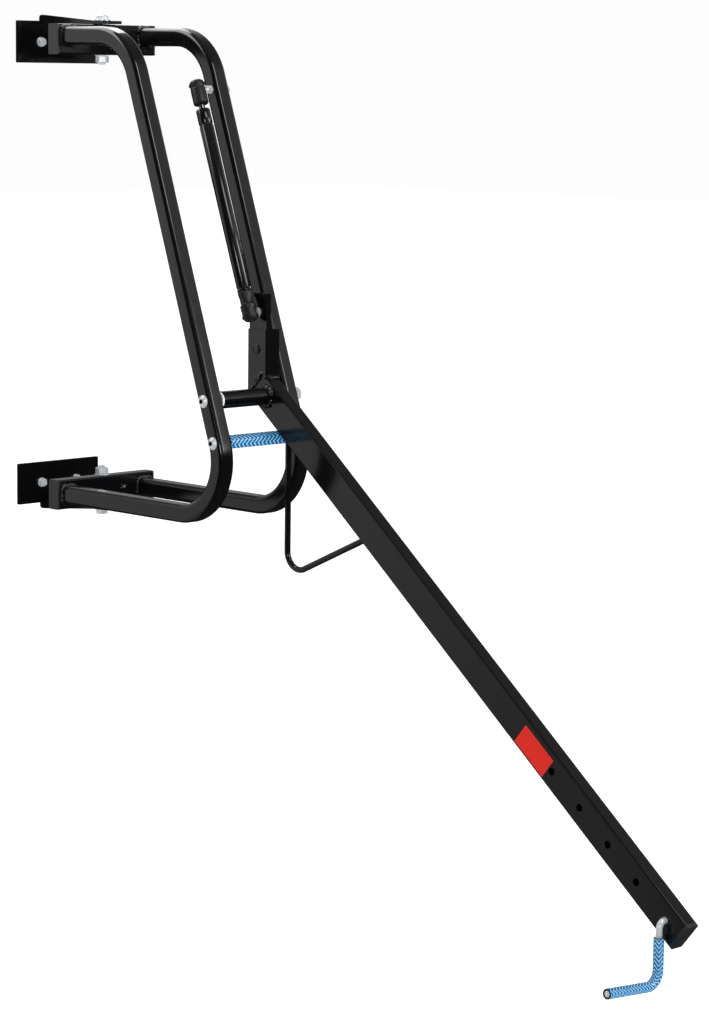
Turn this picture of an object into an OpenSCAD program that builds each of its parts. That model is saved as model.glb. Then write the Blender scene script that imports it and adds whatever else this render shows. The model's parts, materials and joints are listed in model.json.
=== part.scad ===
// Bicycle wall rack: a swivelling tube frame on two wall brackets carries a lift arm
// with a wheel hook. A gas strut holds the arm down on its stop, and lifts it once it
// has been pulled past dead centre.
//
// Frame: X points away from the wall, Z points up, and the origin is on the wall face,
// in the middle of the four wall screws. Millimetres. The arm is drawn lowered.

/* [Wall brackets] */
// Width of a wall plate
plate_w = 175; // [140:1:220]
// Height of a wall plate
plate_h = 70; // [56:1:90]
// Thickness of the plates and of the hinge ears
plate_t = 5; // [4:0.5:8]
// Distance between the centres of the two wall plates
bracket_pitch = 746; // [600:1:900]
// Distance between the two screws of a plate
screw_pitch = 76; // [60:1:110]
// Diameter of the wall screws
screw_d = 8; // [6:1:10]
// Length of the wall screws under the head
screw_l = 50; // [40:5:80]
// Width of a hinge ear at the wall
ear_w = 76; // [66:1:100]
// Width of a hinge ear at its tip
ear_tip_w = 40; // [32:1:50]
// Height of the stiffening lips at the wall end of an ear
lip_h = 10; // [6:0.5:14]
// Thickness of the stiffening lips
lip_t = 4; // [3:0.5:5]

/* [Hinge] */
// Distance of the swivel axis from the wall
hinge_x = 120; // [100:1:150]
// Diameter of the hinge bolts
hinge_d = 12; // [10:1:14]
// Thickness of the slip washers between ear and crossbar
slip_t = 1; // [0.6:0.1:3]

/* [Frame] */
// Length of the crossbars over their end caps
bar_l = 210; // [180:1:260]
// Height of the flat tube used for the crossbars and the arm
bar_h = 50; // [40:1:60]
// Depth of the flat tube used for the crossbars and the arm
bar_d = 25; // [25:1:34]
// Width of the square side tubes
tube_w = 30; // [25:1:34]
// Corner radius of the side tubes
tube_r = 8; // [4:0.5:9]
// Wall thickness of all tubes
wall = 2; // [1.5:0.1:3]
// Distance between the centres of the two side tubes
tube_pitch = 165; // [150:1:200]
// Centre-line radius of the side tube bends
bend_r = 90; // [60:1:110]
// Lean of the side tubes from the vertical, in degrees
lean = 19.3; // [12:0.1:24]
// Height of the upper tube run above the middle of its crossbar
run_rise = 5.5; // [0:0.5:8]

/* [Lift arm] */
// Distance of the arm pivot from the wall
pivot_x = 486; // [420:1:560]
// Height of the arm pivot, from the middle of the wall screws
pivot_z = -191; // [-220:1:-150]
// Diameter of the pivot and stop bolts
axle_d = 12; // [10:1:14]
// Outer diameter of the pivot tube
pivot_tube_d = 28; // [24:1:34]
// Slope of the lowered arm below the horizontal, in degrees
arm_slope = 38.9; // [30:0.1:45]
// Length of the arm from its pivot to its end cap
arm_l = 1141; // [900:1:1300]
// Length of the arm behind its pivot
arm_back = 30; // [24:1:40]
// Sideways place of the middle of the arm
arm_y = 49; // [40:1:55]
// Diameter of the holes for moving the hook
hole_d = 12; // [10:0.5:14]
// Distance between neighbouring holes, the hook's own included
hole_pitch = 72.5; // [50:0.5:90]
// Number of spare holes
hole_count = 4; // [2:1:6]
// Distance of the hook's hole from the end of the arm
hook_inset = 36; // [30:1:60]
// Outer diameter of the hose on the stop bolt
stop_hose_d = 22; // [18:1:30]

/* [Lever] */
// Width of the lever sleeve across the front
sleeve_w = 45; // [40:1:55]
// Depth of the lever sleeve
sleeve_d = 30; // [28:1:33]
// Height of the top of the lever sleeve above the pivot
sleeve_top = 107; // [80:1:118]
// Distance of the back of the sleeve behind the pivot
sleeve_back = 41; // [36:1:46]
// Thickness of the flat bar in the sleeve
lever_t = 10; // [8:1:14]
// Height of the top of the flat bar above the pivot
lever_top = 165; // [150:1:200]
// Height of the lower ball above the pivot
ball_rise = 135.5; // [130:0.5:150]

/* [Gas strut] */
// Outer diameter of the strut cylinder
cylinder_d = 23; // [18:1:28]
// Wall thickness of the strut cylinder
cylinder_wall = 1.5; // [1:0.1:2]
// Diameter of the strut rod
rod_d = 10; // [8:1:12]
// Distance of the upper ball from the arm pivot, along the side tube
strut_mount = 517.6; // [500:0.1:530]
// How far the strut lengthens when the arm is fully raised
stroke = 191; // [150:1:200]
// Diameter of the balls
ball_d = 13; // [10:0.5:14]
// Outer diameter of the ball sockets
socket_d = 25; // [23:0.5:30]

/* [Wheel loop and hook] */
// Diameter of the wheel loop rod
loop_rod_d = 10; // [8:1:12]
// Distance of the loop's upright leg in front of the pivot
loop_x = 42; // [41:1:50]
// Depth of the loop's corner below the pivot
loop_depth = 292; // [220:1:340]
// Rise of the loop's return leg above the horizontal, in degrees
loop_rise = 24.7; // [15:0.1:35]
// Diameter of the hook rod
hook_rod_d = 10; // [8:1:12]
// Outer diameter of the hose on the hook
hook_hose_d = 16; // [14:0.5:20]
// Drop of the hook from its hole to its lower leg
hook_drop = 95; // [70:1:130]
// Length of the hook's lower leg
hook_reach = 113; // [80:1:140]
// Upward tilt of the hook's lower leg, in degrees
hook_tilt = 4.8; // [0:0.1:10]

/* [Label] */
// Length of the label on the arm
label_l = 73; // [50:1:80]
// Height of the label on the arm
label_h = 36; // [24:1:40]

/* [Hidden] */
$fn = 48;

screw_thread_d = 7;   // wall screw's thread, at its pitch diameter
arm_lift = 120;       // lift of the arm from its stop, in degrees

// Clearances
fit_gap = 0.08;       // shaft in a bush, on the radius
hole_gap = 0.25;      // bolt in a plain hole, on the radius
face_gap = 0.3;       // between faces that turn past each other
stop_gap = 0.3;       // lowered arm to stop hose
thread_gap = 0.1;     // between fixed round pieces, on the radius
swell = 0.02;         // how much fatter a bend is than its straights, on the radius
overlap = 0.5;        // how far straights reach into a bend

// Brackets and hinge
ear_l = hinge_x + 30;                           // wall to ear tip
ear_top = plate_h/2;                            // ear's outer face, from the plate centre
lip_inset = 0.3;                                // lips inside the ear's slanted edges
bar_r = 3;                                      // corner radius of the flat tube
bar_z = bracket_pitch/2 + ear_top - plate_t - slip_t - bar_h/2;
cap_t = 3;                                      // end cap flange of a crossbar
washer_t = 2.5;
hex_w = 1.58*hinge_d;                           // across flats of nuts and heads
nut_h = hinge_d;
head_h = 0.63*hinge_d;
sleeve_od = hinge_d + 6;
hinge_grip = plate_t + 2*slip_t + bar_h;        // ear, slip washers and crossbar

// Side tube path, in the X-Z plane
run_x = hinge_x + bar_d/2;                      // front face of the crossbars
run_z = [-bar_z, bar_z + run_rise];             // lower and upper run
corner_x = [for (z = run_z) pivot_x - (z - pivot_z)*tan(lean)];
top_cut = bend_r*tan((90 - lean)/2);            // corner to tangent point
low_cut = bend_r*tan((90 + lean)/2);
leg_l = (run_z[1] - run_z[0])/cos(lean) - top_cut - low_cut;
plug_y = 37;                                    // sideways place of the plug
plug_shank = 9;
side_y = tube_pitch/2;
inner_y = side_y - tube_w/2;                    // inner face of a side tube
outer_y = side_y + tube_w/2;

// Arm and stop
arm_face = arm_y - bar_d/2;                     // left face of the arm
arm_far = arm_y + bar_d/2;
arm_cap = 7;                                    // end cap flange of the arm
hook_s = arm_l - hook_inset;
bush_barrel = 20;
bush_d = pivot_tube_d - 6;
bush_flange = 4;                                // left bush, with its running gap
pivot_tube_y = -inner_y + bush_flange;          // left end of the pivot tube
stop_dist = (bar_h/2 + stop_hose_d/2 + stop_gap)/sin(90 - arm_slope - lean);
stop_x = pivot_x + stop_dist*sin(lean);
stop_z = pivot_z - stop_dist*cos(lean);

// Lever and strut
lever_w = sleeve_w - 2*wall - 1;
lever_x = pivot_x - sleeve_back + sleeve_w/2;   // middle of the lever
lever_face = arm_y - sleeve_d/2 + wall;         // left face of the flat bar
stud_d = 8;
stud_hex = 13;                                  // across flats
stud_hex_t = 6;
upper_neck = 15;                                // upper socket to side tube
upper_reach = socket_d/2 + upper_neck;          // upper ball to side tube
rivet_rise = 75;                                // above the pivot
rivet_d = 10;
rivet_dome = 2.5;
socket_gap = 2;                                 // lower socket to the collar
open_gap = 0.5;                                 // end of the lower neck to its collar
lower_collar_t = wall + rivet_dome;             // the neck passes over the rivet
lower_reach = socket_d/2 + socket_gap + lower_collar_t;  // lower ball to flat bar
ball_top = [pivot_x - strut_mount*sin(lean), inner_y - upper_reach,
    pivot_z + strut_mount*cos(lean)];
ball_low = [lever_x, lever_face - lower_reach, pivot_z + ball_rise];
strut_v = ball_low - ball_top;
strut_l = norm(strut_v);
strut_tilt = asin(strut_v[1]/strut_l);          // out of the X-Z plane
strut_swing = atan2(-strut_v[0], -strut_v[2]);  // in the X-Z plane
lever_v = ball_low - [pivot_x, 0, pivot_z];
ball_raised = [pivot_x + lever_v[0]*cos(arm_lift) - lever_v[2]*sin(arm_lift), ball_low[1],
    pivot_z + lever_v[0]*sin(arm_lift) + lever_v[2]*cos(arm_lift)];
swing_axis = cross(strut_v, ball_raised - ball_top);
strut_roll = atan2(-swing_axis*[cos(strut_swing), 0, -sin(strut_swing)],
    swing_axis*[sin(strut_swing)*sin(strut_tilt), cos(strut_tilt),
        cos(strut_swing)*sin(strut_tilt)]);     // turns a socket's mouth to the swing axis
socket_head = 16;                               // ball to the end of a socket
upper_socket_l = 26.5;                          // upper ball to the rod end of its socket
lower_neck = 38;                                // lower ball to the cylinder
thread_d = 8;                                   // thread in the sockets
thread_l = 12;
cylinder_top = upper_socket_l + 9;              // bare rod between socket and cylinder
cylinder_bottom = strut_l - lower_neck;
bore_d = cylinder_d - 2*cylinder_wall;
guide_t = 14;
seal_t = 6;
piston_t = 14;
piston_top = cylinder_top + 2 + guide_t + seal_t + stroke + 2;

// Hook, seen along the arm's pivot axis: it hangs from the last hole
hook_x = pivot_x + hook_s*cos(arm_slope);
hook_z = pivot_z - hook_s*sin(arm_slope);
hook_bend = 12;                                 // centre-line radius at the arm
hook_leg_y = arm_face - hook_bend - 0.5;
hook_corner = 18;                               // centre-line radius at the foot
hook_cut = hook_corner*tan((90 + hook_tilt)/2);
hook_nut_h = 8;

// Loop, in the X-Z plane
loop_bend = 28;
loop_turn = 90 + loop_rise;                     // from straight down to rising forwards
loop_cut = loop_bend*tan(loop_turn/2);
loop_foot_z = -((bar_h/2)/cos(arm_slope) + loop_x*tan(arm_slope));
// Distance from the loop's corner up its return leg to the underside of the arm
loop_return = (loop_depth + loop_foot_z)*cos(arm_slope)/sin(arm_slope + loop_rise);

// ---- Shapes used by several pieces ----

// Rectangle with round corners, centred
module round_rect(w, h, r) {
    square([w - 2*r, h], center = true);
    square([w, h - 2*r], center = true);
    for (x = [-1, 1], y = [-1, 1])
        translate([x*(w/2 - r), y*(h/2 - r)]) circle(r);
}

// Section of a tube with round corners
module tube_section(w, h, r) {
    difference() {
        round_rect(w, h, r);
        round_rect(w - 2*wall, h - 2*wall, max(r - wall, 0.5));
    }
}

// Turns a shape drawn along Z so that it runs along +Y from the given point
module along_y(x, y, z) {
    translate([x, y, z]) rotate([-90, 0, 0]) children();
}

// Hexagon prism, across flats w
module hexagon(w, h) {
    cylinder(d = w/cos(30), h = h, $fn = 6);
}

// Ring along Z
module ring(od, id, h) {
    difference() {
        cylinder(d = od, h = h);
        translate([0, 0, -1]) cylinder(d = id, h = h + 2);
    }
}

// Domed cap, flat side at z = 0 and dome upwards
module dome(d, h) {
    r = (d*d/4 + h*h)/(2*h);
    rotate_extrude() intersection() {
        translate([0, h - r]) circle(r, $fn = 96);
        square([d/2, h]);
    }
}

// Button head with a hexagon socket, flat side at z = 0
module button_head(d, h, key) {
    difference() {
        dome(d, h);
        translate([0, 0, h - 0.55*h]) hexagon(key, h);
    }
}

// Quarter-like bend: section swept about Z from angle a0 by angle turn
module bend(r, a0, turn) {
    rotate([0, 0, a0]) rotate_extrude(angle = turn) translate([r, 0]) children();
}

// Puts the children at the arm pivot, turned to the arm: X along it, Z on its upper side
module arm_place() {
    translate([pivot_x, 0, pivot_z]) rotate([0, arm_slope, 0]) children();
}

// Puts the children at the upper ball, with -Z running down the strut
module strut_place() {
    translate(ball_top) rotate([strut_tilt, strut_swing, 0]) children();
}

// A solid of revolution between distances t0 and t1 down the strut
module strut_ring(od, id, t0, t1) {
    translate([0, 0, -t1]) ring(od, id, t1 - t0);
}

// ---- Wall brackets ----

module ear_outline() {
    r = 6;
    polygon([[0, -ear_w/2], [ear_l - r, -ear_tip_w/2], [ear_l, -ear_tip_w/2 + r],
        [ear_l, ear_tip_w/2 - r], [ear_l - r, ear_tip_w/2], [0, ear_w/2]]);
    for (s = [-1, 1])
        translate([ear_l - r, s*(ear_tip_w/2 - r)]) circle(r);
}

// Stiffening lip along one slanted edge of the ear, standing on its outer face
module ear_lip(s) {
    edge = [ear_l - 6, s*(ear_tip_w - ear_w)/2];
    turn = atan2(edge[1], edge[0]);
    run = hinge_x + 2;
    r = lip_h/2;
    translate([plate_t, s*(ear_w/2 + plate_t*(ear_tip_w - ear_w)/2/(ear_l - 6)), 0])
        rotate([0, 0, turn])
            translate([0, (s > 0 ? 0 : lip_t) - s*lip_inset, 0])
                rotate([90, 0, 0])
                    linear_extrude(lip_t) {
                        polygon([[-plate_t, -plate_t], [run, -plate_t], [run, 0], [r, lip_h],
                            [-plate_t + r, lip_h], [-plate_t, lip_h - r]]);
                        translate([-plate_t + r, lip_h - r]) circle(r);
                    }
}

// Bracket drawn with its plate centred on the origin and its ear on top
module bracket() {
    bar_hole = hinge_d/2 + hole_gap;
    difference() {
        union() {
            rotate([90, 0, 90]) linear_extrude(plate_t) round_rect(plate_w, plate_h, 2);
            translate([0, 0, ear_top - plate_t]) linear_extrude(plate_t) ear_outline();
            intersection() {
                translate([0, 0, ear_top]) ear_lip(-1);
                translate([0, -ear_w/2, ear_top - plate_t])
                    cube([ear_l, ear_w, lip_h + plate_t]);
            }
        }
        for (y = [-1, 1])
            translate([-1, y*screw_pitch/2, 0]) rotate([0, 90, 0])
                cylinder(r = screw_d/2 + 2*hole_gap, h = plate_t + 2);
        translate([hinge_x, 0, 0]) cylinder(r = bar_hole, h = plate_h);
    }
}

module upper_wall_bracket() {
    color("dimgray") translate([0, 0, bracket_pitch/2]) bracket();
}

module lower_wall_bracket() {
    color("dimgray") translate([0, 0, -bracket_pitch/2]) mirror([0, 0, 1]) bracket();
}

// Flanged hexagon lag screw with its point in the wall
module wall_screw() {
    flange = 2;
    translate([plate_t, 0, 0]) rotate([0, 90, 0]) {
        cylinder(d = 2*screw_d, h = flange);
        translate([0, 0, flange]) hexagon(1.62*screw_d, 0.65*screw_d);
        translate([0, 0, -plate_t]) cylinder(d = screw_d, h = plate_t);
        translate([0, 0, -screw_l + screw_d])
            cylinder(d = screw_thread_d, h = screw_l - screw_d - plate_t);
        translate([0, 0, -screw_l]) cylinder(d1 = 1, d2 = screw_thread_d, h = screw_d);
    }
}

module wall_screws() {
    color("silver") for (y = [-1, 1], z = [-1, 1])
        translate([0, y*screw_pitch/2, z*bracket_pitch/2]) wall_screw();
}

// ---- Swivel hinge ----

// Runs its children on the swivel axis, measured inwards from the ear's outer face
module hinge_place(upper) {
    translate([hinge_x, 0, 0])
        mirror([0, 0, upper ? 0 : 1])
            translate([0, 0, bracket_pitch/2 + ear_top]) children();
}

module hinge_bolt() {
    reach = washer_t + hinge_grip + nut_h + 3;
    translate([0, 0, washer_t]) hexagon(hex_w, head_h);
    translate([0, 0, washer_t - reach]) cylinder(d = hinge_d, h = reach);
}

module upper_hinge_bolt() {
    color("silver") hinge_place(true) hinge_bolt();
}

module lower_hinge_bolt() {
    color("silver") hinge_place(false) hinge_bolt();
}

module hinge_nut() {
    translate([0, 0, -hinge_grip - nut_h]) difference() {
        hexagon(hex_w, nut_h);
        translate([0, 0, -1]) cylinder(d = hinge_d + 2*thread_gap, h = nut_h + 2);
    }
}

module upper_hinge_nut() {
    color("silver") hinge_place(true) hinge_nut();
}

module lower_hinge_nut() {
    color("silver") hinge_place(false) hinge_nut();
}

// Steel washers under the bolt heads
module hinge_bolt_washers() {
    color("silver") for (up = [true, false]) hinge_place(up)
        ring(2*hinge_d + 3, hinge_d + 2*hole_gap, washer_t);
}

// Plastic washers on both sides of each crossbar
module slip_washers() {
    color("whitesmoke") for (up = [true, false]) hinge_place(up)
        for (z = [-plate_t - slip_t, -hinge_grip])
            translate([0, 0, z + (z < -plate_t - slip_t ? 0 : face_gap)])
                ring(2*hinge_d, hinge_d + 2*hole_gap, slip_t - face_gap);
}

// ---- Swivelling frame ----

module crossbar(z) {
    l = bar_l - 2*cap_t;
    translate([hinge_x, 0, z]) difference() {
        rotate([90, 0, 0]) translate([0, 0, -l/2]) linear_extrude(l)
            tube_section(bar_d, bar_h, bar_r);
        translate([0, 0, -bar_h]) cylinder(d = sleeve_od, h = 2*bar_h);
    }
}

module upper_crossbar() {
    color("slategray") crossbar(bar_z);
}

module lower_crossbar() {
    color("slategray") difference() {
        crossbar(-bar_z);
        translate([run_x - 2*wall, plug_y, -bar_z]) rotate([0, 90, 0])
            cylinder(d = plug_shank, h = 3*wall);
    }
}

// Plastic caps that close the ends of both crossbars
module crossbar_end_caps() {
    plug = 12;
    color("darkgray") for (y = [-1, 1], z = [-1, 1])
        translate([hinge_x, y*bar_l/2, z*bar_z]) mirror([0, y > 0 ? 1 : 0, 0]) {
            rotate([-90, 0, 0]) linear_extrude(cap_t) round_rect(bar_d, bar_h, bar_r);
            rotate([-90, 0, 0]) linear_extrude(cap_t + plug) difference() {
                round_rect(bar_d - 2*wall - 0.4, bar_h - 2*wall - 0.4, 1);
                round_rect(bar_d - 4*wall, bar_h - 4*wall, 1);
            }
        }
}

// Steel sleeves welded through the crossbars, which turn on the hinge bolts
module hinge_sleeves() {
    color("gray") for (z = [-1, 1])
        translate([hinge_x, 0, z*bar_z - bar_h/2])
            ring(sleeve_od, hinge_d + 2*fit_gap, bar_h);
}

// Solid along the side tube's centre line, drawn in the X-Y plane around z = 0: upper
// run, lean leg and lower run. The bends are a hair fatter and the straights reach a
// little into them, so that they join.
module tube_path(w, r, end_x) {
    up = [corner_x[1] - top_cut, run_z[1]];
    low = [corner_x[0] - low_cut, run_z[0]];
    leg_start = [up[0] + bend_r*cos(lean), up[1] - bend_r + bend_r*sin(lean)];
    fat = w + 2*swell;
    module straight(from, angle, before, l) {
        translate([from[0], from[1], 0]) rotate([0, 0, angle]) rotate([90, 0, 90])
            translate([0, 0, -before]) linear_extrude(l + before) round_rect(w, w, r);
    }
    straight([end_x, run_z[1]], 0, 0, up[0] - end_x + overlap);
    translate([up[0], up[1] - bend_r, 0]) bend(bend_r, lean, 90 - lean)
        round_rect(fat, fat, r + swell);
    straight(leg_start, lean - 90, overlap, leg_l + overlap);
    translate([low[0], low[1] + bend_r, 0]) bend(bend_r, -90, 90 + lean)
        round_rect(fat, fat, r + swell);
    straight([end_x, run_z[0]], 0, 0, low[0] - end_x + overlap);
}

module side_tube(y) {
    difference() {
        translate([0, y, 0]) rotate([90, 0, 0]) tube_path(tube_w, tube_r, run_x);
        translate([0, y, 0]) rotate([90, 0, 0])
            tube_path(tube_w - 2*wall, tube_r - wall, run_x - 5);
        along_y(pivot_x, y - tube_w, pivot_z) cylinder(d = axle_d + 2*hole_gap, h = 2*tube_w);
        along_y(stop_x, y - tube_w, stop_z) cylinder(d = axle_d + 2*hole_gap, h = 2*tube_w);
    }
}

module left_side_tube() {
    color("slategray") side_tube(-side_y);
}

module right_side_tube() {
    color("slategray") difference() {
        side_tube(side_y);
        along_y(ball_top[0], side_y - tube_w, ball_top[2])
            cylinder(d = stud_d + 2*hole_gap, h = 2*tube_w);
    }
}

// Domed plastic plug in the front of the lower crossbar
module crossbar_plug() {
    color("black") translate([run_x, plug_y, -bar_z]) rotate([0, 90, 0]) {
        dome(16, 5);
        translate([0, 0, -wall - 2]) cylinder(d = plug_shank - 0.4, h = wall + 2);
    }
}

// ---- Pivot and stop ----

// Bolt across the frame: button head on the left, thread end past the nut on the right
module cross_bolt(x, z) {
    tail = nut_h - 1 + 2;
    along_y(x, -outer_y, z) {
        cylinder(d = axle_d, h = 2*outer_y + tail);
        rotate([180, 0, 0]) button_head(1.7*axle_d, 0.55*axle_d, 0.65*axle_d);
    }
}

module cross_nut(x, z) {
    along_y(x, outer_y, z) difference() {
        hexagon(1.58*axle_d, nut_h - 1);
        translate([0, 0, -1]) cylinder(d = axle_d + 2*thread_gap, h = nut_h + 2);
    }
}

module pivot_bolt() {
    color("silver") cross_bolt(pivot_x, pivot_z);
}

module pivot_nut() {
    color("silver") cross_nut(pivot_x, pivot_z);
}

module stop_bolt() {
    color("silver") cross_bolt(stop_x, stop_z);
}

module stop_nut() {
    color("silver") cross_nut(stop_x, stop_z);
}

// Braided hose that the lowered arm rests on
module stop_hose() {
    color("steelblue") along_y(stop_x, -inner_y + face_gap, stop_z)
        ring(stop_hose_d, axle_d + 2*thread_gap, 2*(inner_y - face_gap));
}

// ---- Lift arm ----

module pivot_tube() {
    color("slategray") along_y(pivot_x, pivot_tube_y, pivot_z)
        ring(pivot_tube_d, bush_d, arm_far - pivot_tube_y);
}

// Flanged bush: barrel along +Z from z = 0, flange of height h below it
module flanged_bush(h) {
    difference() {
        union() {
            cylinder(d = bush_d, h = bush_barrel);
            translate([0, 0, -h]) cylinder(d = pivot_tube_d - 1, h = h);
        }
        translate([0, 0, -h - 1]) cylinder(d = axle_d + 2*fit_gap, h = h + bush_barrel + 2);
    }
}

module left_pivot_bush() {
    color("whitesmoke") along_y(pivot_x, pivot_tube_y, pivot_z)
        flanged_bush(pivot_tube_y + inner_y - face_gap);
}

module right_pivot_bush() {
    color("whitesmoke") along_y(pivot_x, arm_far, pivot_z)
        mirror([0, 0, 1]) flanged_bush(inner_y - face_gap - arm_far);
}

module arm_tube() {
    color("slategray") difference() {
        arm_place() translate([-arm_back, arm_y, 0]) rotate([90, 0, 90])
            linear_extrude(arm_back + arm_l - arm_cap) tube_section(bar_d, bar_h, bar_r);
        along_y(pivot_x, 0, pivot_z) cylinder(d = pivot_tube_d, h = 2*outer_y);
        arm_place() for (i = [1:hole_count])
            translate([hook_s - i*hole_pitch, 0, 0]) rotate([-90, 0, 0])
                cylinder(d = hole_d, h = 2*outer_y);
        along_y(hook_x, 0, hook_z) cylinder(d = hook_rod_d + 2*hole_gap, h = 2*outer_y);
    }
}

// Plastic cap on the free end of the arm
module arm_end_cap() {
    plug = 16;
    color("darkgray") arm_place() translate([arm_l - arm_cap, arm_y, 0]) rotate([90, 0, 90]) {
        linear_extrude(arm_cap) round_rect(bar_d, bar_h, bar_r);
        translate([0, 0, -plug]) linear_extrude(plug + 1) difference() {
            round_rect(bar_d - 2*wall - 0.4, bar_h - 2*wall - 0.4, 1);
            round_rect(bar_d - 4*wall, bar_h - 4*wall, 1);
        }
    }
}

// Upright sleeve welded on the upper end of the arm
module lever_sleeve() {
    color("slategray") difference() {
        translate([pivot_x - sleeve_back + sleeve_w/2, arm_y, pivot_z])
            linear_extrude(sleeve_top) tube_section(sleeve_w, sleeve_d, bar_r);
        arm_place() translate([-arm_back, 0, -2*bar_h]) cube([200, 200, 2.5*bar_h]);
        along_y(lever_x, 0, pivot_z + rivet_rise)
            cylinder(d = rivet_d + 2*thread_gap, h = arm_y);
    }
}

// Flat bar in the sleeve, which carries the lower ball of the strut
module lever_bar() {
    bottom = 50;
    color("slategray") difference() {
        translate([lever_x - lever_w/2, lever_face, pivot_z + bottom])
            cube([lever_w, lever_t, lever_top - bottom]);
        along_y(lever_x, 0, pivot_z + ball_rise)
            cylinder(d = stud_d + 2*hole_gap, h = 100);
        along_y(lever_x, 0, pivot_z + rivet_rise)
            cylinder(d = rivet_d + 2*thread_gap, h = 100);
    }
}

// Domed rivet through the sleeve and the flat bar
module lever_rivet() {
    color("slategray") along_y(lever_x, lever_face - wall, pivot_z + rivet_rise) {
        rotate([180, 0, 0]) dome(16.5, rivet_dome);
        cylinder(d = rivet_d, h = wall + lever_t);
        translate([0, 0, wall + lever_t]) dome(14, rivet_dome);
    }
}

// Collar, thread and nut of the lower ball stud, which hold it in the flat bar
module lever_nut() {
    color("silver") along_y(lever_x, lever_face, pivot_z + ball_rise) {
        translate([0, 0, -lower_collar_t]) hexagon(stud_hex, lower_collar_t);
        translate([0, 0, -overlap]) cylinder(d = stud_d, h = lever_t + 9 + overlap);
        translate([0, 0, lever_t]) hexagon(stud_hex, 6.5);
    }
}

// Bent rod that the tyre leans on, welded under the arm. Both legs are drawn too long
// and cut off along the arm's underside.
module wheel_loop() {
    extra = 15;
    color("black") difference() {
        translate([pivot_x + loop_x, arm_y, pivot_z - loop_depth]) {
            translate([0, 0, loop_cut - overlap])
                cylinder(d = loop_rod_d,
                    h = loop_depth - loop_cut + loop_foot_z + overlap + extra);
            rotate([90, 0, 0]) translate([loop_bend, loop_cut, 0])
                bend(loop_bend, 180, loop_turn) circle(d = loop_rod_d + 2*swell);
            rotate([0, 90 - loop_rise, 0]) translate([0, 0, loop_cut - overlap])
                cylinder(d = loop_rod_d, h = loop_return - loop_cut + overlap + extra);
        }
        arm_place() translate([0, arm_y - bar_d, -bar_h/2]) cube([500, 2*bar_d, bar_h]);
    }
}

module arm_label() {
    t = 0.3;
    color("firebrick") arm_place()
        translate([hook_s - hole_count*hole_pitch - 8 - label_l, arm_face - t, -bar_h/2 + 4])
            cube([label_l, t, label_h]);
}

// ---- Gas strut ----

// Solid ball socket between distances t0 and t1, with its cavity at tb
module socket_body(t0, t1, tb) {
    difference() {
        translate([0, 0, -t1]) cylinder(d = socket_d, h = t1 - t0);
        translate([0, 0, -tb]) {
            sphere(d = ball_d + 0.6);
            rotate([-90, 0, strut_roll]) cylinder(d = ball_d - 1.5, h = socket_d);
        }
    }
}

module upper_socket() {
    chamfer = 3;
    color("dimgray") strut_place() difference() {
        union() {
            socket_body(-socket_head + chamfer, upper_socket_l, 0);
            translate([0, 0, socket_head - chamfer])
                cylinder(d1 = socket_d, d2 = socket_d - 2*chamfer, h = chamfer);
        }
        strut_ring(thread_d + 2*thread_gap, 0, upper_socket_l - thread_l, upper_socket_l + 1);
    }
}

// Spring clip in the groove round a socket
module clip(t) {
    strut_ring(socket_d + 2, socket_d + 0.1, t - 1.2, t + 1.2);
}

module upper_socket_clip() {
    color("black") strut_place() clip(-8);
}

module strut_rod() {
    color("silver") strut_place() {
        strut_ring(thread_d, 0, upper_socket_l - thread_l + 1, upper_socket_l);
        strut_ring(rod_d, 0, upper_socket_l, piston_top + piston_t + 4);
    }
}

module strut_piston() {
    color("gray") strut_place()
        strut_ring(bore_d - 2*fit_gap, rod_d + 2*thread_gap, piston_top, piston_top + piston_t);
}

module strut_cylinder() {
    groove = 0.8;
    color("black") strut_place() difference() {
        strut_ring(cylinder_d, bore_d, cylinder_top, cylinder_bottom);
        for (t = [cylinder_top + 27, cylinder_bottom - 6])
            translate([0, 0, -t]) rotate_extrude()
                translate([cylinder_d/2 + 0.7, 0]) circle(r = 0.7 + groove, $fn = 24);
    }
}

// Rod guide rolled into the mouth of the cylinder
module rod_guide() {
    color("gray") strut_place()
        strut_ring(bore_d, rod_d + 2*fit_gap, cylinder_top + 2, cylinder_top + 2 + guide_t);
}

module rod_seal() {
    start = cylinder_top + 2 + guide_t;
    color("black") strut_place() strut_ring(bore_d, rod_d + 2*fit_gap, start, start + seal_t);
}

// Plug rolled into the bottom of the cylinder, with the thread of the lower socket
module strut_end_plug() {
    color("gray") strut_place() {
        strut_ring(bore_d, 0, cylinder_bottom - 12, cylinder_bottom);
        strut_ring(thread_d, 0, cylinder_bottom, cylinder_bottom + thread_l);
    }
}

module lower_socket() {
    neck_d = socket_d - 4;
    shoulder = strut_l - 14;
    chamfer = 3;
    color("dimgray") strut_place() difference() {
        union() {
            socket_body(shoulder + 2, strut_l + socket_head - chamfer, strut_l);
            translate([0, 0, -strut_l - socket_head])
                cylinder(d1 = socket_d - 2*chamfer, d2 = socket_d, h = chamfer);
            translate([0, 0, -shoulder - 2]) cylinder(d1 = socket_d, d2 = neck_d, h = 2);
            strut_ring(neck_d, 0, cylinder_bottom, shoulder);
        }
        strut_ring(thread_d + 2*thread_gap, 0, cylinder_bottom - 1, cylinder_bottom + thread_l + 1);
    }
}

module lower_socket_clip() {
    color("black") strut_place() clip(strut_l + 8);
}

// Ball and neck along +Y from the ball's centre
module ball_stud(p, reach) {
    translate(p) {
        sphere(d = ball_d);
        rotate([-90, 0, 0]) cylinder(d = stud_d, h = reach);
    }
}

module upper_ball_stud() {
    color("silver") {
        ball_stud(ball_top, upper_reach);
        along_y(ball_top[0], inner_y - stud_hex_t, ball_top[2]) hexagon(stud_hex, stud_hex_t);
        along_y(ball_top[0], inner_y, ball_top[2]) cylinder(d = stud_d, h = tube_w + 8);
    }
}

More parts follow.
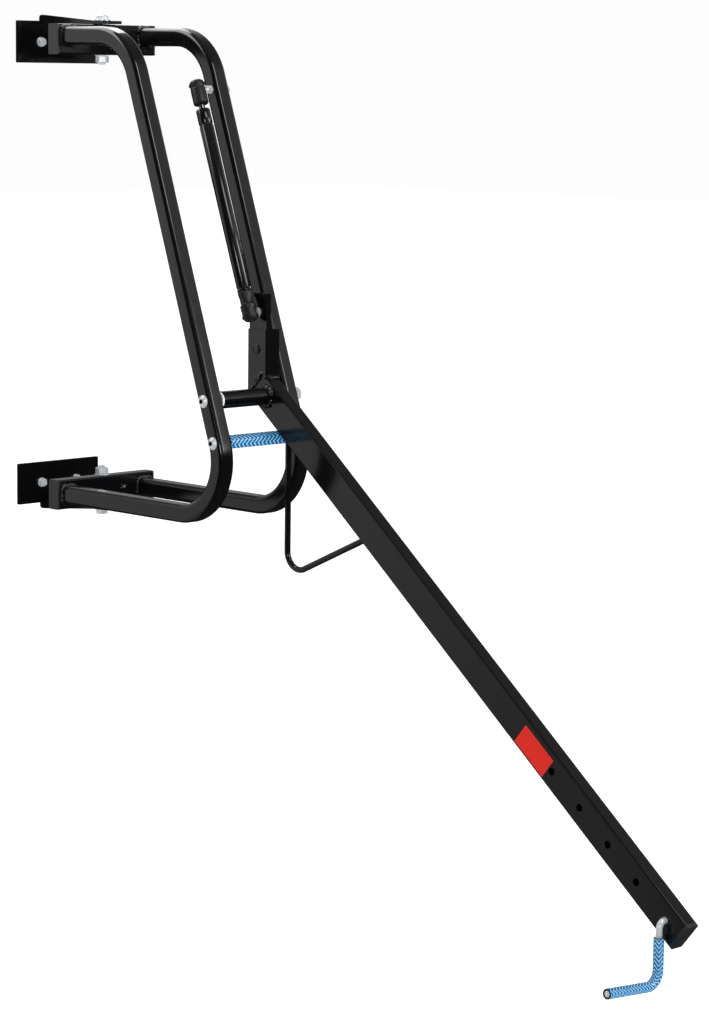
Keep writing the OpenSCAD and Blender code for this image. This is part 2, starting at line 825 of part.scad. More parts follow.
module upper_stud_nut() {
    color("silver") along_y(ball_top[0], outer_y, ball_top[2]) difference() {
        hexagon(stud_hex, 6.5);
        translate([0, 0, -1]) cylinder(d = stud_d + 2*thread_gap, h = 9);
    }
}

// Ball and neck of the lower stud, which end just short of its collar
module lower_ball_stud() {
    color("silver") ball_stud(ball_low, lower_reach - lower_collar_t - open_gap);
}

// ---- Wheel hook ----

// Solid along the hook's centre line, from the height top on its upright leg round the
// foot bend and along the lower leg, which ends early by the length short
module hook_path(d, top, short) {
    leg_end = -hook_drop + hook_cut;
    translate([0, hook_leg_y, leg_end - overlap]) cylinder(d = d, h = top - leg_end + overlap);
    translate([0, hook_leg_y - hook_corner, leg_end]) rotate([90, 0, 90])
        bend(hook_corner, -90 - hook_tilt, 90 + hook_tilt) circle(d = d + 2*swell);
    translate([0, hook_leg_y, -hook_drop]) rotate([90 - hook_tilt, 0, 0])
        translate([0, 0, hook_cut - overlap])
            cylinder(d = d, h = hook_reach - hook_cut - short + overlap);
}

module hook_rod() {
    tail = arm_far + hook_nut_h + 5;
    color("silver") translate([hook_x, 0, hook_z]) {
        hook_path(hook_rod_d, -hook_bend + overlap, 0);
        translate([0, hook_leg_y + hook_bend, -hook_bend]) rotate([90, 0, 90])
            bend(hook_bend, 90, 90) circle(d = hook_rod_d + 2*swell);
        along_y(0, hook_leg_y + hook_bend - overlap, 0)
            cylinder(d = hook_rod_d, h = tail - hook_leg_y - hook_bend + overlap);
    }
}

// Braided hose over the hook, which keeps the rim from being scratched
module hook_hose() {
    color("steelblue") translate([hook_x, 0, hook_z]) difference() {
        hook_path(hook_hose_d, -24, 0);
        hook_path(hook_rod_d + 2*thread_gap, 0, -5);
    }
}

module hook_washer() {
    color("silver") along_y(hook_x, arm_far + face_gap, hook_z)
        ring(2*hook_rod_d, hook_rod_d + 2*thread_gap, 1.5);
}

module hook_nut() {
    color("silver") along_y(hook_x, arm_far + face_gap + 1.5, hook_z) difference() {
        hexagon(1.6*hook_rod_d, hook_nut_h);
        translate([0, 0, -1]) cylinder(d = hook_rod_d + 2*thread_gap, h = hook_nut_h + 2);
    }
}

upper_wall_bracket();
lower_wall_bracket();
wall_screws();
upper_hinge_bolt();
lower_hinge_bolt();
upper_hinge_nut();
lower_hinge_nut();
hinge_bolt_washers();
slip_washers();
upper_crossbar();
lower_crossbar();
crossbar_end_caps();
hinge_sleeves();
left_side_tube();
right_side_tube();
crossbar_plug();
pivot_bolt();
pivot_nut();
stop_bolt();
stop_nut();
stop_hose();
upper_ball_stud();
upper_stud_nut();
pivot_tube();
left_pivot_bush();
right_pivot_bush();
arm_tube();
arm_end_cap();
lever_sleeve();
lever_bar();
lever_rivet();
lever_nut();
wheel_loop();
arm_label();
strut_rod();
strut_piston();
upper_socket();
upper_socket_clip();
strut_cylinder();
rod_guide();
rod_seal();
strut_end_plug();
lower_socket();
lower_socket_clip();
lower_ball_stud();
hook_rod();
hook_hose();
hook_washer();
hook_nut();
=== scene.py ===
# %% [markdown]
# # A bicycle wall rack, finished in Blender
# The rack is a swivelling frame of bent square tube on two wall brackets. A flat tube arm
# turns in it, held by a gas strut, and ends in a hook for the wheel. The design is ready:
# every part has its size, its place and its joint. This lesson gives the parts the looks
# of the real thing, with rounded edges, weld beads, threads, braided hose and paint.

# %% Load the frame
import json
import math
import random

import bmesh
import bpy
from mathutils import Matrix, Vector


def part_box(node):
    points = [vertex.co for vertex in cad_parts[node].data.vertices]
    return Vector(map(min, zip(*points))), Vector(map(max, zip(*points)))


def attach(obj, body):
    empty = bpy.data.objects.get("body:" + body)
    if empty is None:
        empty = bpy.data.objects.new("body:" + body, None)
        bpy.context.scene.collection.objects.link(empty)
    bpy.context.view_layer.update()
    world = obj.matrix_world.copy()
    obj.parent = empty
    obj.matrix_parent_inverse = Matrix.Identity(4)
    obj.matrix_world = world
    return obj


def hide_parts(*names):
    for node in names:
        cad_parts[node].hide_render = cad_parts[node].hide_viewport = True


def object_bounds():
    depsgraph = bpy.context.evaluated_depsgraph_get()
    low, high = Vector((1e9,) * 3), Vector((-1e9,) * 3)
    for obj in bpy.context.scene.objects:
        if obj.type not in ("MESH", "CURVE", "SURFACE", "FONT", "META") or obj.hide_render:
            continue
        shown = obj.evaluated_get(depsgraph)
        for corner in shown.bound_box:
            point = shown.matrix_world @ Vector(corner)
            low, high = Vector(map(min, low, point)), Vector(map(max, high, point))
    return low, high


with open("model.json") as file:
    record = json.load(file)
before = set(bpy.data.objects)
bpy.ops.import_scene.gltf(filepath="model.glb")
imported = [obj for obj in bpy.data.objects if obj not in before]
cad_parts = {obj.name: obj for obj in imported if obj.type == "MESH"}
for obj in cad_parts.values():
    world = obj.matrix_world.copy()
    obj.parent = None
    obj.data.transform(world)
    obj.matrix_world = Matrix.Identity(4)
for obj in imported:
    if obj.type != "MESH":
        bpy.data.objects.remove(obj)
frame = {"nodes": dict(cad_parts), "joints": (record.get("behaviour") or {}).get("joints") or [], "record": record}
nodes = frame["nodes"]
record = frame["record"]
cad_bounds = [list(corner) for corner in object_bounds()]
print("parts in the frame:", len(nodes), "box:", cad_bounds)

# %% [markdown]
# ## Where things are
# Nothing is placed by eye. The joints say where the axes are, and the parts' boxes say how
# high, wide and deep they are. A few sizes that a box can't tell, such as bend radii, are
# named here in metres.

# %% Axes and driving sizes
joints = {joint["name"]: joint for joint in frame["joints"]}
hinge_x = joints["frame_swivel"]["pos_m"][0]
pivot = Vector(joints["arm_lift"]["pos_m"])
ball_top = Vector(joints["strut_swing"]["pos_m"])
strut_down = Vector(joints["strut_extend"]["axis"]).normalized()
hook_hole = Vector(joints["hook_swing"]["pos_m"])
arm_along = (hook_hole - pivot).normalized()
arm_up = Vector((-arm_along.z, 0, arm_along.x))
ball_low = Vector(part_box("lower_ball_stud")[0]) * 0.5 + Vector(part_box("lower_ball_stud")[1]) * 0.5
lean = math.atan2(pivot.x - ball_top.x, ball_top.z - pivot.z)

tube_w = 0.030
tube_r = 0.008
tube_bend = 0.090
flat_h = 0.050
bolt_d = 0.012
print("lean of the side tubes:", round(math.degrees(lean), 1), "degrees")

# %% [markdown]
# ## Camera, light and floor
# A long lens keeps the tubes nearly parallel. The rack is black, so it is seen mostly by
# what it mirrors: a white room makes its faces dark grey, and the dark side of the room
# behind the camera draws the black bands between the faces. The world therefore shows
# white to the camera, and a white room with one dark side to the paint. A lamp in that dark
# side draws one thin line along each rounded corner, and two cards behind the rack fill its
# left faces and its upper edges.

# %% Camera
camera_data = bpy.data.cameras.new("camera")
camera_data.sensor_width = 36
camera_data.lens = 111.0
camera_data.shift_y = -0.0017
camera_data.clip_end = 60
camera = bpy.data.objects.new("camera", camera_data)
bpy.context.scene.collection.objects.link(camera)
bpy.context.scene.camera = camera

CAMERA_PLACE = Vector((4.1889, -3.4015, 0.3246))
CAMERA_TURN = math.radians(45.47)
CAMERA_PITCH = math.radians(7.85)
CAMERA_ROLL = math.radians(0.68)
camera.matrix_world = (
    Matrix.Translation(CAMERA_PLACE)
    @ Matrix.Rotation(CAMERA_TURN, 4, "Z")
    @ Matrix.Rotation(math.pi / 2 - CAMERA_PITCH, 4, "X")
    @ Matrix.Rotation(CAMERA_ROLL, 4, "Z")
)

# %% World
scene = bpy.context.scene
scene.view_settings.view_transform = "Standard"
scene.view_settings.look = "None"

world = bpy.data.worlds.new("studio")
scene.world = world
world.use_nodes = True
web = world.node_tree
web.nodes.clear()


def add(tree, kind, x, y, **values):
    """Adds a node at (x, y) and sets its inputs and properties by name."""
    node = tree.nodes.new(kind)
    node.location = (x, y)
    for name, value in values.items():
        if name in node.inputs:
            node.inputs[name].default_value = value
        else:
            setattr(node, name, value)
    return node


DARK_SIDE = Vector((0.50, -0.86, 0.12)).normalized()
direction = add(web, "ShaderNodeTexCoord", -1100, 0)
toward = add(web, "ShaderNodeVectorMath", -900, 200, operation="DOT_PRODUCT")
toward.inputs[1].default_value = DARK_SIDE
shade = add(web, "ShaderNodeMapRange", -700, 200)
shade.inputs["From Min"].default_value = 0.58
shade.inputs["From Max"].default_value = 0.86
shade.inputs["To Min"].default_value = 1.0
shade.inputs["To Max"].default_value = 0.04
height = add(web, "ShaderNodeSeparateXYZ", -900, -100)
ceiling = add(web, "ShaderNodeValToRGB", -700, -100)
ceiling.color_ramp.elements[0].position = 0.06
ceiling.color_ramp.elements[0].color = (0.02, 0.02, 0.022, 1)
ceiling.color_ramp.elements[1].position = 0.24
ceiling.color_ramp.elements[1].color = (0.74, 0.75, 0.77, 1)
for level, tone in ((0.45, 0.62), (0.72, 0.17), (1.0, 0.25)):
    ceiling.color_ramp.elements.new(level).color = (tone, tone, tone, 1)
room_colour = add(web, "ShaderNodeVectorMath", -400, 0, operation="MULTIPLY")
room = add(web, "ShaderNodeBackground", -200, 0, Strength=1.0)
paper = add(web, "ShaderNodeBackground", -200, -150, Strength=1.0)
paper.inputs["Color"].default_value = (0.985, 0.985, 0.99, 1)
ray = add(web, "ShaderNodeLightPath", -200, 300)
mixed = add(web, "ShaderNodeMixShader", 50, 0)
sky = add(web, "ShaderNodeOutputWorld", 250, 0)
web.links.new(direction.outputs["Generated"], toward.inputs[0])
web.links.new(direction.outputs["Generated"], height.inputs[0])
web.links.new(toward.outputs["Value"], shade.inputs["Value"])
web.links.new(height.outputs["Z"], ceiling.inputs["Fac"])
web.links.new(ceiling.outputs["Color"], room_colour.inputs[0])
web.links.new(shade.outputs["Result"], room_colour.inputs[1])
web.links.new(room_colour.outputs[0], room.inputs["Color"])
web.links.new(ray.outputs["Is Camera Ray"], mixed.inputs[0])
web.links.new(room.outputs[0], mixed.inputs[1])
web.links.new(paper.outputs[0], mixed.inputs[2])
web.links.new(mixed.outputs[0], sky.inputs[0])


# %% Lamps and floor
def lamp(name, place, target, size, power):
    """A soft square lamp that looks at a point."""
    data = bpy.data.lights.new(name, "AREA")
    data.size = size
    data.energy = power
    lamp_object = bpy.data.objects.new(name, data)
    lamp_object.location = place
    lamp_object.rotation_euler = (Vector(target) - Vector(place)).to_track_quat("-Z", "Y").to_euler()
    scene.collection.objects.link(lamp_object)


MIDDLE = (0.6, 0, -0.3)
lamp("top_lamp", (3.3, -0.3, 2.6), MIDDLE, 1.4, 40)
lamp("front_lamp", (4.6, -4.6, 1.1), MIDDLE, 1.3, 60)
lamp("right_lamp", (3.6, 1.8, 1.0), MIDDLE, 1.2, 45)

FLOOR_DROP = 0.35
floor_mesh = bmesh.new()
bmesh.ops.create_grid(floor_mesh, x_segments=1, y_segments=1, size=30)
bmesh.ops.translate(floor_mesh, verts=floor_mesh.verts, vec=(0, 0, cad_bounds[0][2] - FLOOR_DROP))
floor_data = bpy.data.meshes.new("floor")
floor_mesh.to_mesh(floor_data)
floor_mesh.free()
floor = bpy.data.objects.new("floor", floor_data)
scene.collection.objects.link(floor)
floor_paint = bpy.data.materials.new("floor_paint")
floor_paint.use_nodes = True
floor_shader = floor_paint.node_tree.nodes["Principled BSDF"]
floor_shader.inputs["Base Color"].default_value = (0.96, 0.96, 0.965, 1)
floor_shader.inputs["Emission Color"].default_value = (1, 1, 1, 1)
floor_shader.inputs["Emission Strength"].default_value = 0.95
floor_shader.inputs["Roughness"].default_value = 0.9
floor_shader.inputs["Specular IOR Level"].default_value = 0.1
floor_data.materials.append(floor_paint)
floor.visible_glossy = False

# %% Reflector cards behind the rack, which only the paint sees
def reflector(name, y_range, z_range, fade, glow):
    """An upright card that glows more from one height to another; no camera or lamp sees it."""
    mesh = bmesh.new()
    bmesh.ops.create_grid(mesh, x_segments=1, y_segments=1, size=0.5)
    bmesh.ops.rotate(mesh, verts=mesh.verts, cent=(0, 0, 0), matrix=Matrix.Rotation(math.pi / 2, 3, "Y"))
    bmesh.ops.scale(mesh, verts=mesh.verts, vec=(1, y_range[1] - y_range[0], z_range[1] - z_range[0]))
    bmesh.ops.translate(mesh, verts=mesh.verts, vec=(-0.06, sum(y_range) / 2, sum(z_range) / 2))
    data = bpy.data.meshes.new(name)
    mesh.to_mesh(data)
    mesh.free()
    card = bpy.data.objects.new(name, data)
    scene.collection.objects.link(card)
    material = bpy.data.materials.new(name + "_paint")
    material.use_nodes = True
    tree = material.node_tree
    shader = tree.nodes["Principled BSDF"]
    shader.inputs["Base Color"].default_value = (0, 0, 0, 1)
    shader.inputs["Roughness"].default_value = 1.0
    shader.inputs["Specular IOR Level"].default_value = 0.0
    shader.inputs["Emission Color"].default_value = (1, 1, 1, 1)
    place = add(tree, "ShaderNodeTexCoord", -900, 0)
    level = add(tree, "ShaderNodeSeparateXYZ", -700, 0)
    rise = add(tree, "ShaderNodeMapRange", -450, 0)
    rise.inputs["From Min"].default_value, rise.inputs["From Max"].default_value = fade
    rise.inputs["To Min"].default_value, rise.inputs["To Max"].default_value = glow
    tree.links.new(place.outputs["Object"], level.inputs[0])
    tree.links.new(level.outputs["Z"], rise.inputs["Value"])
    tree.links.new(rise.outputs["Result"], shader.inputs["Emission Strength"])
    data.materials.append(material)
    card.visible_camera = False
    card.visible_shadow = False


reflector("side_card", (-1.75, -0.21), (-2.1, 0.50), (-1.1, 0.25), (0.38, 1.0))
reflector("edge_card", (-0.80, 0.35), (0.52, 1.10), (0.52, 0.60), (1.5, 6.0))

# %% [markdown]
# ## Shader groups that several finishes share
# Three effects come back in many finishes, so each is a node group with named values:
# the fine skin of paint or plastic, the pale edges, partly wear and partly painted
# highlight, and dust that settles on what looks up.


# %% Group helper
def new_group(name, inputs, outputs):
    """A shader group with float inputs (name, value) and outputs (name, socket type)."""
    group = bpy.data.node_groups.new(name, "ShaderNodeTree")
    for label, value in inputs:
        socket = group.interface.new_socket(label, in_out="INPUT", socket_type="NodeSocketFloat")
        socket.default_value = value
    for label, kind in outputs:
        group.interface.new_socket(label, in_out="OUTPUT", socket_type=kind)
    into = add(group, "NodeGroupInput", -900, 0)
    out = add(group, "NodeGroupOutput", 600, 0)
    return group, into, out


# %% Fine skin: the orange peel of powder coat or the grain of moulded plastic
skin, skin_in, skin_out = new_group(
    "fine_skin",
    [("Grain per metre", 900), ("Wave per metre", 60)],
    [("Height", "NodeSocketFloat"), ("Cloud", "NodeSocketFloat")],
)
where = add(skin, "ShaderNodeTexCoord", -900, -200)
grain = add(skin, "ShaderNodeTexNoise", -600, 150, Detail=2.0, Roughness=0.5)
wave = add(skin, "ShaderNodeTexNoise", -600, -150, Detail=3.0, Roughness=0.55)
both = add(skin, "ShaderNodeMath", -300, 50, operation="MULTIPLY_ADD")
both.inputs[1].default_value = 0.6
skin.links.new(where.outputs["Object"], grain.inputs["Vector"])
skin.links.new(where.outputs["Object"], wave.inputs["Vector"])
skin.links.new(skin_in.outputs["Grain per metre"], grain.inputs["Scale"])
skin.links.new(skin_in.outputs["Wave per metre"], wave.inputs["Scale"])
skin.links.new(grain.outputs["Fac"], both.inputs[0])
skin.links.new(wave.outputs["Fac"], both.inputs[2])
skin.links.new(both.outputs[0], skin_out.inputs["Height"])
skin.links.new(wave.outputs["Fac"], skin_out.inputs["Cloud"])

# %% Edge wear and painted highlight: where the rounded normal leaves the flat one, the edge is near
edge_wear_light, edge_wear_light_in, edge_wear_light_out = new_group(
    "edge_wear_and_highlight",
    [("Width", 0.0012), ("Patches per metre", 45), ("Amount", 0.5)],
    [("Mask", "NodeSocketFloat")],
)
rounded = add(edge_wear_light, "ShaderNodeBevel", -900, -200)
rounded.samples = 4
plain = add(edge_wear_light, "ShaderNodeNewGeometry", -900, -400)
agree = add(edge_wear_light, "ShaderNodeVectorMath", -650, -250, operation="DOT_PRODUCT")
edge = add(edge_wear_light, "ShaderNodeMapRange", -450, -250)
edge.inputs["From Min"].default_value = 0.995
edge.inputs["From Max"].default_value = 0.90
patch_where = add(edge_wear_light, "ShaderNodeTexCoord", -900, 250)
patch = add(edge_wear_light, "ShaderNodeTexNoise", -650, 250, Detail=4.0, Roughness=0.65)
patchy = add(edge_wear_light, "ShaderNodeMapRange", -450, 250)
patchy.inputs["From Min"].default_value = 0.48
patchy.inputs["From Max"].default_value = 0.66
# A patchy pale band along the edges: partly wear, partly painted highlight.
worn_and_lit = add(edge_wear_light, "ShaderNodeMath", -200, 0, operation="MULTIPLY")
scaled = add(edge_wear_light, "ShaderNodeMath", 50, 0, operation="MULTIPLY")
edge_wear_light.links.new(edge_wear_light_in.outputs["Width"], rounded.inputs["Radius"])
edge_wear_light.links.new(rounded.outputs["Normal"], agree.inputs[0])
edge_wear_light.links.new(plain.outputs["True Normal"], agree.inputs[1])
edge_wear_light.links.new(agree.outputs["Value"], edge.inputs["Value"])
edge_wear_light.links.new(patch_where.outputs["Object"], patch.inputs["Vector"])
edge_wear_light.links.new(edge_wear_light_in.outputs["Patches per metre"], patch.inputs["Scale"])
edge_wear_light.links.new(patch.outputs["Fac"], patchy.inputs["Value"])
edge_wear_light.links.new(edge.outputs["Result"], worn_and_lit.inputs[0])
edge_wear_light.links.new(patchy.outputs["Result"], worn_and_lit.inputs[1])
edge_wear_light.links.new(worn_and_lit.outputs[0], scaled.inputs[0])
edge_wear_light.links.new(edge_wear_light_in.outputs["Amount"], scaled.inputs[1])
edge_wear_light.links.new(scaled.outputs[0], edge_wear_light_out.inputs["Mask"])

# %% Dust: a thin pale film on whatever looks up
dust, dust_in, dust_out = new_group(
    "settled_dust", [("Amount", 0.2)], [("Mask", "NodeSocketFloat")]
)
facing = add(dust, "ShaderNodeNewGeometry", -900, -250)
height = add(dust, "ShaderNodeSeparateXYZ", -700, -250)
up_only = add(dust, "ShaderNodeMapRange", -500, -250)
up_only.inputs["From Min"].default_value = 0.35
up_only.inputs["From Max"].default_value = 1.0
speck_where = add(dust, "ShaderNodeTexCoord", -900, 200)
speck = add(dust, "ShaderNodeTexNoise", -700, 200, Scale=320.0, Detail=5.0, Roughness=0.7)
flecks = add(dust, "ShaderNodeMapRange", -500, 200)
flecks.inputs["From Min"].default_value = 0.42
flecks.inputs["From Max"].default_value = 0.75
film = add(dust, "ShaderNodeMath", -250, 0, operation="MULTIPLY")
thin = add(dust, "ShaderNodeMath", 0, 0, operation="MULTIPLY")
dust.links.new(facing.outputs["Normal"], height.inputs[0])
dust.links.new(height.outputs["Z"], up_only.inputs["Value"])
dust.links.new(speck_where.outputs["Object"], speck.inputs["Vector"])
dust.links.new(speck.outputs["Fac"], flecks.inputs["Value"])
dust.links.new(up_only.outputs["Result"], film.inputs[0])
dust.links.new(flecks.outputs["Result"], film.inputs[1])
dust.links.new(film.outputs[0], thin.inputs[0])
dust.links.new(dust_in.outputs["Amount"], thin.inputs[1])
dust.links.new(thin.outputs[0], dust_out.inputs["Mask"])

# %% [markdown]
# ## Finishes
# Each finish of the record gets one material. The Principled shader sits in the material
# itself. A value that is the same all over is set on its socket, and the groups only bring
# what changes over the surface: colour, roughness and bump.

# %% Finish helpers
finish = {}


def mix_colours(tree, x, y, factor, first, second):
    """Mixes two colours by a factor socket and returns the colour output."""
    node = tree.nodes.new("ShaderNodeMix")
    node.data_type = "RGBA"
    node.location = (x, y)
    tree.links.new(factor, node.inputs["Factor"])
    for socket, value in ((node.inputs["A"], first), (node.inputs["B"], second)):
        if isinstance(value, tuple):
            socket.default_value = (*value, 1)
        else:
            tree.links.new(value, socket)
    return node.outputs["Result"]


def ranged(tree, x, y, value, low, high):
    """Maps a 0 to 1 socket to a range."""
    node = add(tree, "ShaderNodeMapRange", x, y)
    node.inputs["To Min"].default_value = low
    node.inputs["To Max"].default_value = high
    tree.links.new(value, node.inputs["Value"])
    return node.outputs["Result"]


def placed_group(tree, group, x, y, **values):
    """Places a shared group in a material and sets its values."""
    node = tree.nodes.new("ShaderNodeGroup")
    node.node_tree = group
    node.location = (x, y)
    for name, value in values.items():
        node.inputs[name.replace("_", " ")].default_value = value
    return node


def bumped(tree, shader, height_socket, strength, distance):
    """Feeds a height into the shader's normal."""
    node = add(tree, "ShaderNodeBump", -250, -350, Strength=strength, Distance=distance)
    tree.links.new(height_socket, node.inputs["Height"])
    tree.links.new(node.outputs["Normal"], shader.inputs["Normal"])
    return node


def new_finish(slot_name):
    """A material with its Principled shader; returns (material, tree, shader)."""
    material = bpy.data.materials.new(slot_name)
    material.use_nodes = True
    tree = material.node_tree
    return material, tree, tree.nodes["Principled BSDF"]


# %% Paint: a smooth black skin, a little paler and rougher in soft clouds
def paint(name, dark, pale, rough, peel, edge_wear_highlight_colour, edge_amount, dust_amount, specular):
    """Powder coat or gloss paint."""
    material, tree, shader = new_finish(name)
    peel_skin = placed_group(tree, skin, -900, 0, Grain_per_metre=650, Wave_per_metre=35)
    edges = placed_group(tree, edge_wear_light, -900, -250, Width=0.0010, Amount=edge_amount)
    settled = placed_group(tree, dust, -900, -500, Amount=dust_amount)
    body = mix_colours(tree, -650, 0, peel_skin.outputs["Cloud"], dark, pale)
    # Pale edges, partly wear and partly painted highlight along the rounded edges.
    edge_worn_and_lit = mix_colours(tree, -450, 0, edges.outputs["Mask"], body, edge_wear_highlight_colour)
    dusty = mix_colours(tree, -250, 0, settled.outputs["Mask"], edge_worn_and_lit, (0.30, 0.29, 0.27))
    tree.links.new(dusty, shader.inputs["Base Color"])
    low, high = rough
    tree.links.new(
        ranged(tree, -450, -200, peel_skin.outputs["Cloud"], low, high), shader.inputs["Roughness"]
    )
    shader.inputs["Specular IOR Level"].default_value = specular
    bumped(tree, shader, peel_skin.outputs["Height"], peel, 0.0002)
    finish[name] = material
    return shader


paint("frame_coat", (0.0020, 0.0022, 0.0025), (0.0030, 0.0033, 0.0038), (0.10, 0.17), 0.10,
      (0.016, 0.017, 0.018), 0.4, 0.006, 0.42)
paint("bracket_coat", (0.0018, 0.0019, 0.0021), (0.0028, 0.0030, 0.0034), (0.12, 0.20), 0.12,
      (0.024, 0.025, 0.027), 0.6, 0.006, 0.40)
paint("loop_coat", (0.0025, 0.0025, 0.0027), (0.0040, 0.0040, 0.0044), (0.08, 0.14), 0.08,
      (0.015, 0.015, 0.016), 0.3, 0.004, 0.42)
paint("cylinder_coat", (0.0025, 0.0025, 0.0026), (0.0038, 0.0038, 0.0040), (0.12, 0.20), 0.08,
      (0.015, 0.015, 0.016), 0.4, 0.004, 0.42)
paint("weld_coat", (0.0025, 0.0026, 0.0028), (0.0050, 0.0052, 0.0056), (0.04, 0.09), 0.3,
      (0.02, 0.02, 0.02), 0.2, 0.0, 0.75)


# %% Steel: zinc plating, bare turned steel, chromed rod, blackened spring
def steel(name, dark, pale, rough, grain_per_metre, edge_wear_highlight_colour, bump, metallic=1.0):
    """Metal with cloudy plating and fine grain."""
    material, tree, shader = new_finish(name)
    plating = placed_group(
        tree, skin, -900, 0, Grain_per_metre=grain_per_metre, Wave_per_metre=120
    )
    edges = placed_group(tree, edge_wear_light, -900, -250, Width=0.0006, Amount=0.8)
    body = mix_colours(tree, -650, 0, plating.outputs["Cloud"], dark, pale)
    # Pale edges, partly wear and partly painted highlight along the rounded edges.
    bright = mix_colours(tree, -450, 0, edges.outputs["Mask"], body, edge_wear_highlight_colour)
    tree.links.new(bright, shader.inputs["Base Color"])
    shader.inputs["Metallic"].default_value = metallic
    low, high = rough
    tree.links.new(
        ranged(tree, -450, -200, plating.outputs["Height"], low, high), shader.inputs["Roughness"]
    )
    bumped(tree, shader, plating.outputs["Height"], bump, 0.0001)
    finish[name] = material


steel("zinc", (0.58, 0.62, 0.65), (0.84, 0.86, 0.88), (0.18, 0.38), 1400, (0.9, 0.9, 0.9), 0.15, 0.45)
steel("plain_steel", (0.30, 0.30, 0.31), (0.52, 0.52, 0.53), (0.25, 0.45), 900, (0.7, 0.7, 0.7), 0.2)
# The chromed rod's colour is far darker than chrome: painted shade for the rod in shadow under the upper socket;
# its pale edges are painted highlight.
steel("chromed_rod", (0.10, 0.11, 0.12), (0.16, 0.17, 0.18), (0.10, 0.20), 600, (0.5, 0.5, 0.5), 0.02)
steel("spring_steel", (0.020, 0.020, 0.022), (0.050, 0.050, 0.052), (0.3, 0.5), 900,
      (0.25, 0.25, 0.25), 0.1)


# %% Plastic and rubber
def moulded(name, dark, pale, rough, grain_per_metre, bump, specular=0.5):
    """Moulded plastic or rubber with a fine eroded skin."""
    material, tree, shader = new_finish(name)
    surface = placed_group(
        tree, skin, -900, 0, Grain_per_metre=grain_per_metre, Wave_per_metre=90
    )
    edges = placed_group(tree, edge_wear_light, -900, -250, Width=0.0010, Amount=0.8)
    body = mix_colours(tree, -650, 0, surface.outputs["Cloud"], dark, pale)
    # The edges are painted lighter: partly wear and partly painted highlight (sheen).
    lighter = tuple(min(1, value * 2.2 + 0.01) for value in pale)
    shiny = mix_colours(tree, -450, 0, edges.outputs["Mask"], body, lighter)
    tree.links.new(shiny, shader.inputs["Base Color"])
    low, high = rough
    tree.links.new(
        ranged(tree, -450, -200, surface.outputs["Cloud"], low, high), shader.inputs["Roughness"]
    )
    shader.inputs["Specular IOR Level"].default_value = specular
    bumped(tree, shader, surface.outputs["Height"], bump, 0.0001)
    finish[name] = material
    return shader


moulded("cap_plastic", (0.0110, 0.0114, 0.0122), (0.0160, 0.0165, 0.0175), (0.32, 0.44), 1600, 0.30, 0.45)
moulded("plug_plastic", (0.0020, 0.0020, 0.0022), (0.0032, 0.0032, 0.0035), (0.08, 0.16), 900, 0.08)
moulded("socket_plastic", (0.0045, 0.0047, 0.0052), (0.0085, 0.0088, 0.0095), (0.34, 0.50), 1500, 0.35, 0.4)
moulded("hose_end", (0.010, 0.020, 0.028), (0.020, 0.040, 0.055), (0.25, 0.40), 700, 0.10)
moulded("seal_rubber", (0.010, 0.010, 0.010), (0.018, 0.018, 0.018), (0.5, 0.7), 800, 0.3, 0.3)
nylon = moulded("white_nylon", (0.74, 0.73, 0.76), (0.82, 0.81, 0.84), (0.35, 0.5), 900, 0.15)
nylon.inputs["Subsurface Weight"].default_value = 0.25
nylon.inputs["Subsurface Radius"].default_value = (0.004, 0.004, 0.005)
nylon.inputs["Subsurface Scale"].default_value = 0.5
moulded("red_label", (0.62, 0.010, 0.004), (0.70, 0.014, 0.006), (0.30, 0.40), 500, 0.05, 0.3)

# %% [markdown]
# ## Braided hose
# The blue hose has a yarn braid under a clear skin. The yarns follow the hose through its
# bends, so the pattern reads the piece's own UV map: U is the distance along the hose in
# yarn spacings and V is the way round. A zigzag of V tilts the stripes one way on one
# eighth of the way round and the other way on the next, which gives the herringbone.

# %% Braid finish
YARN_PITCH = 0.0066


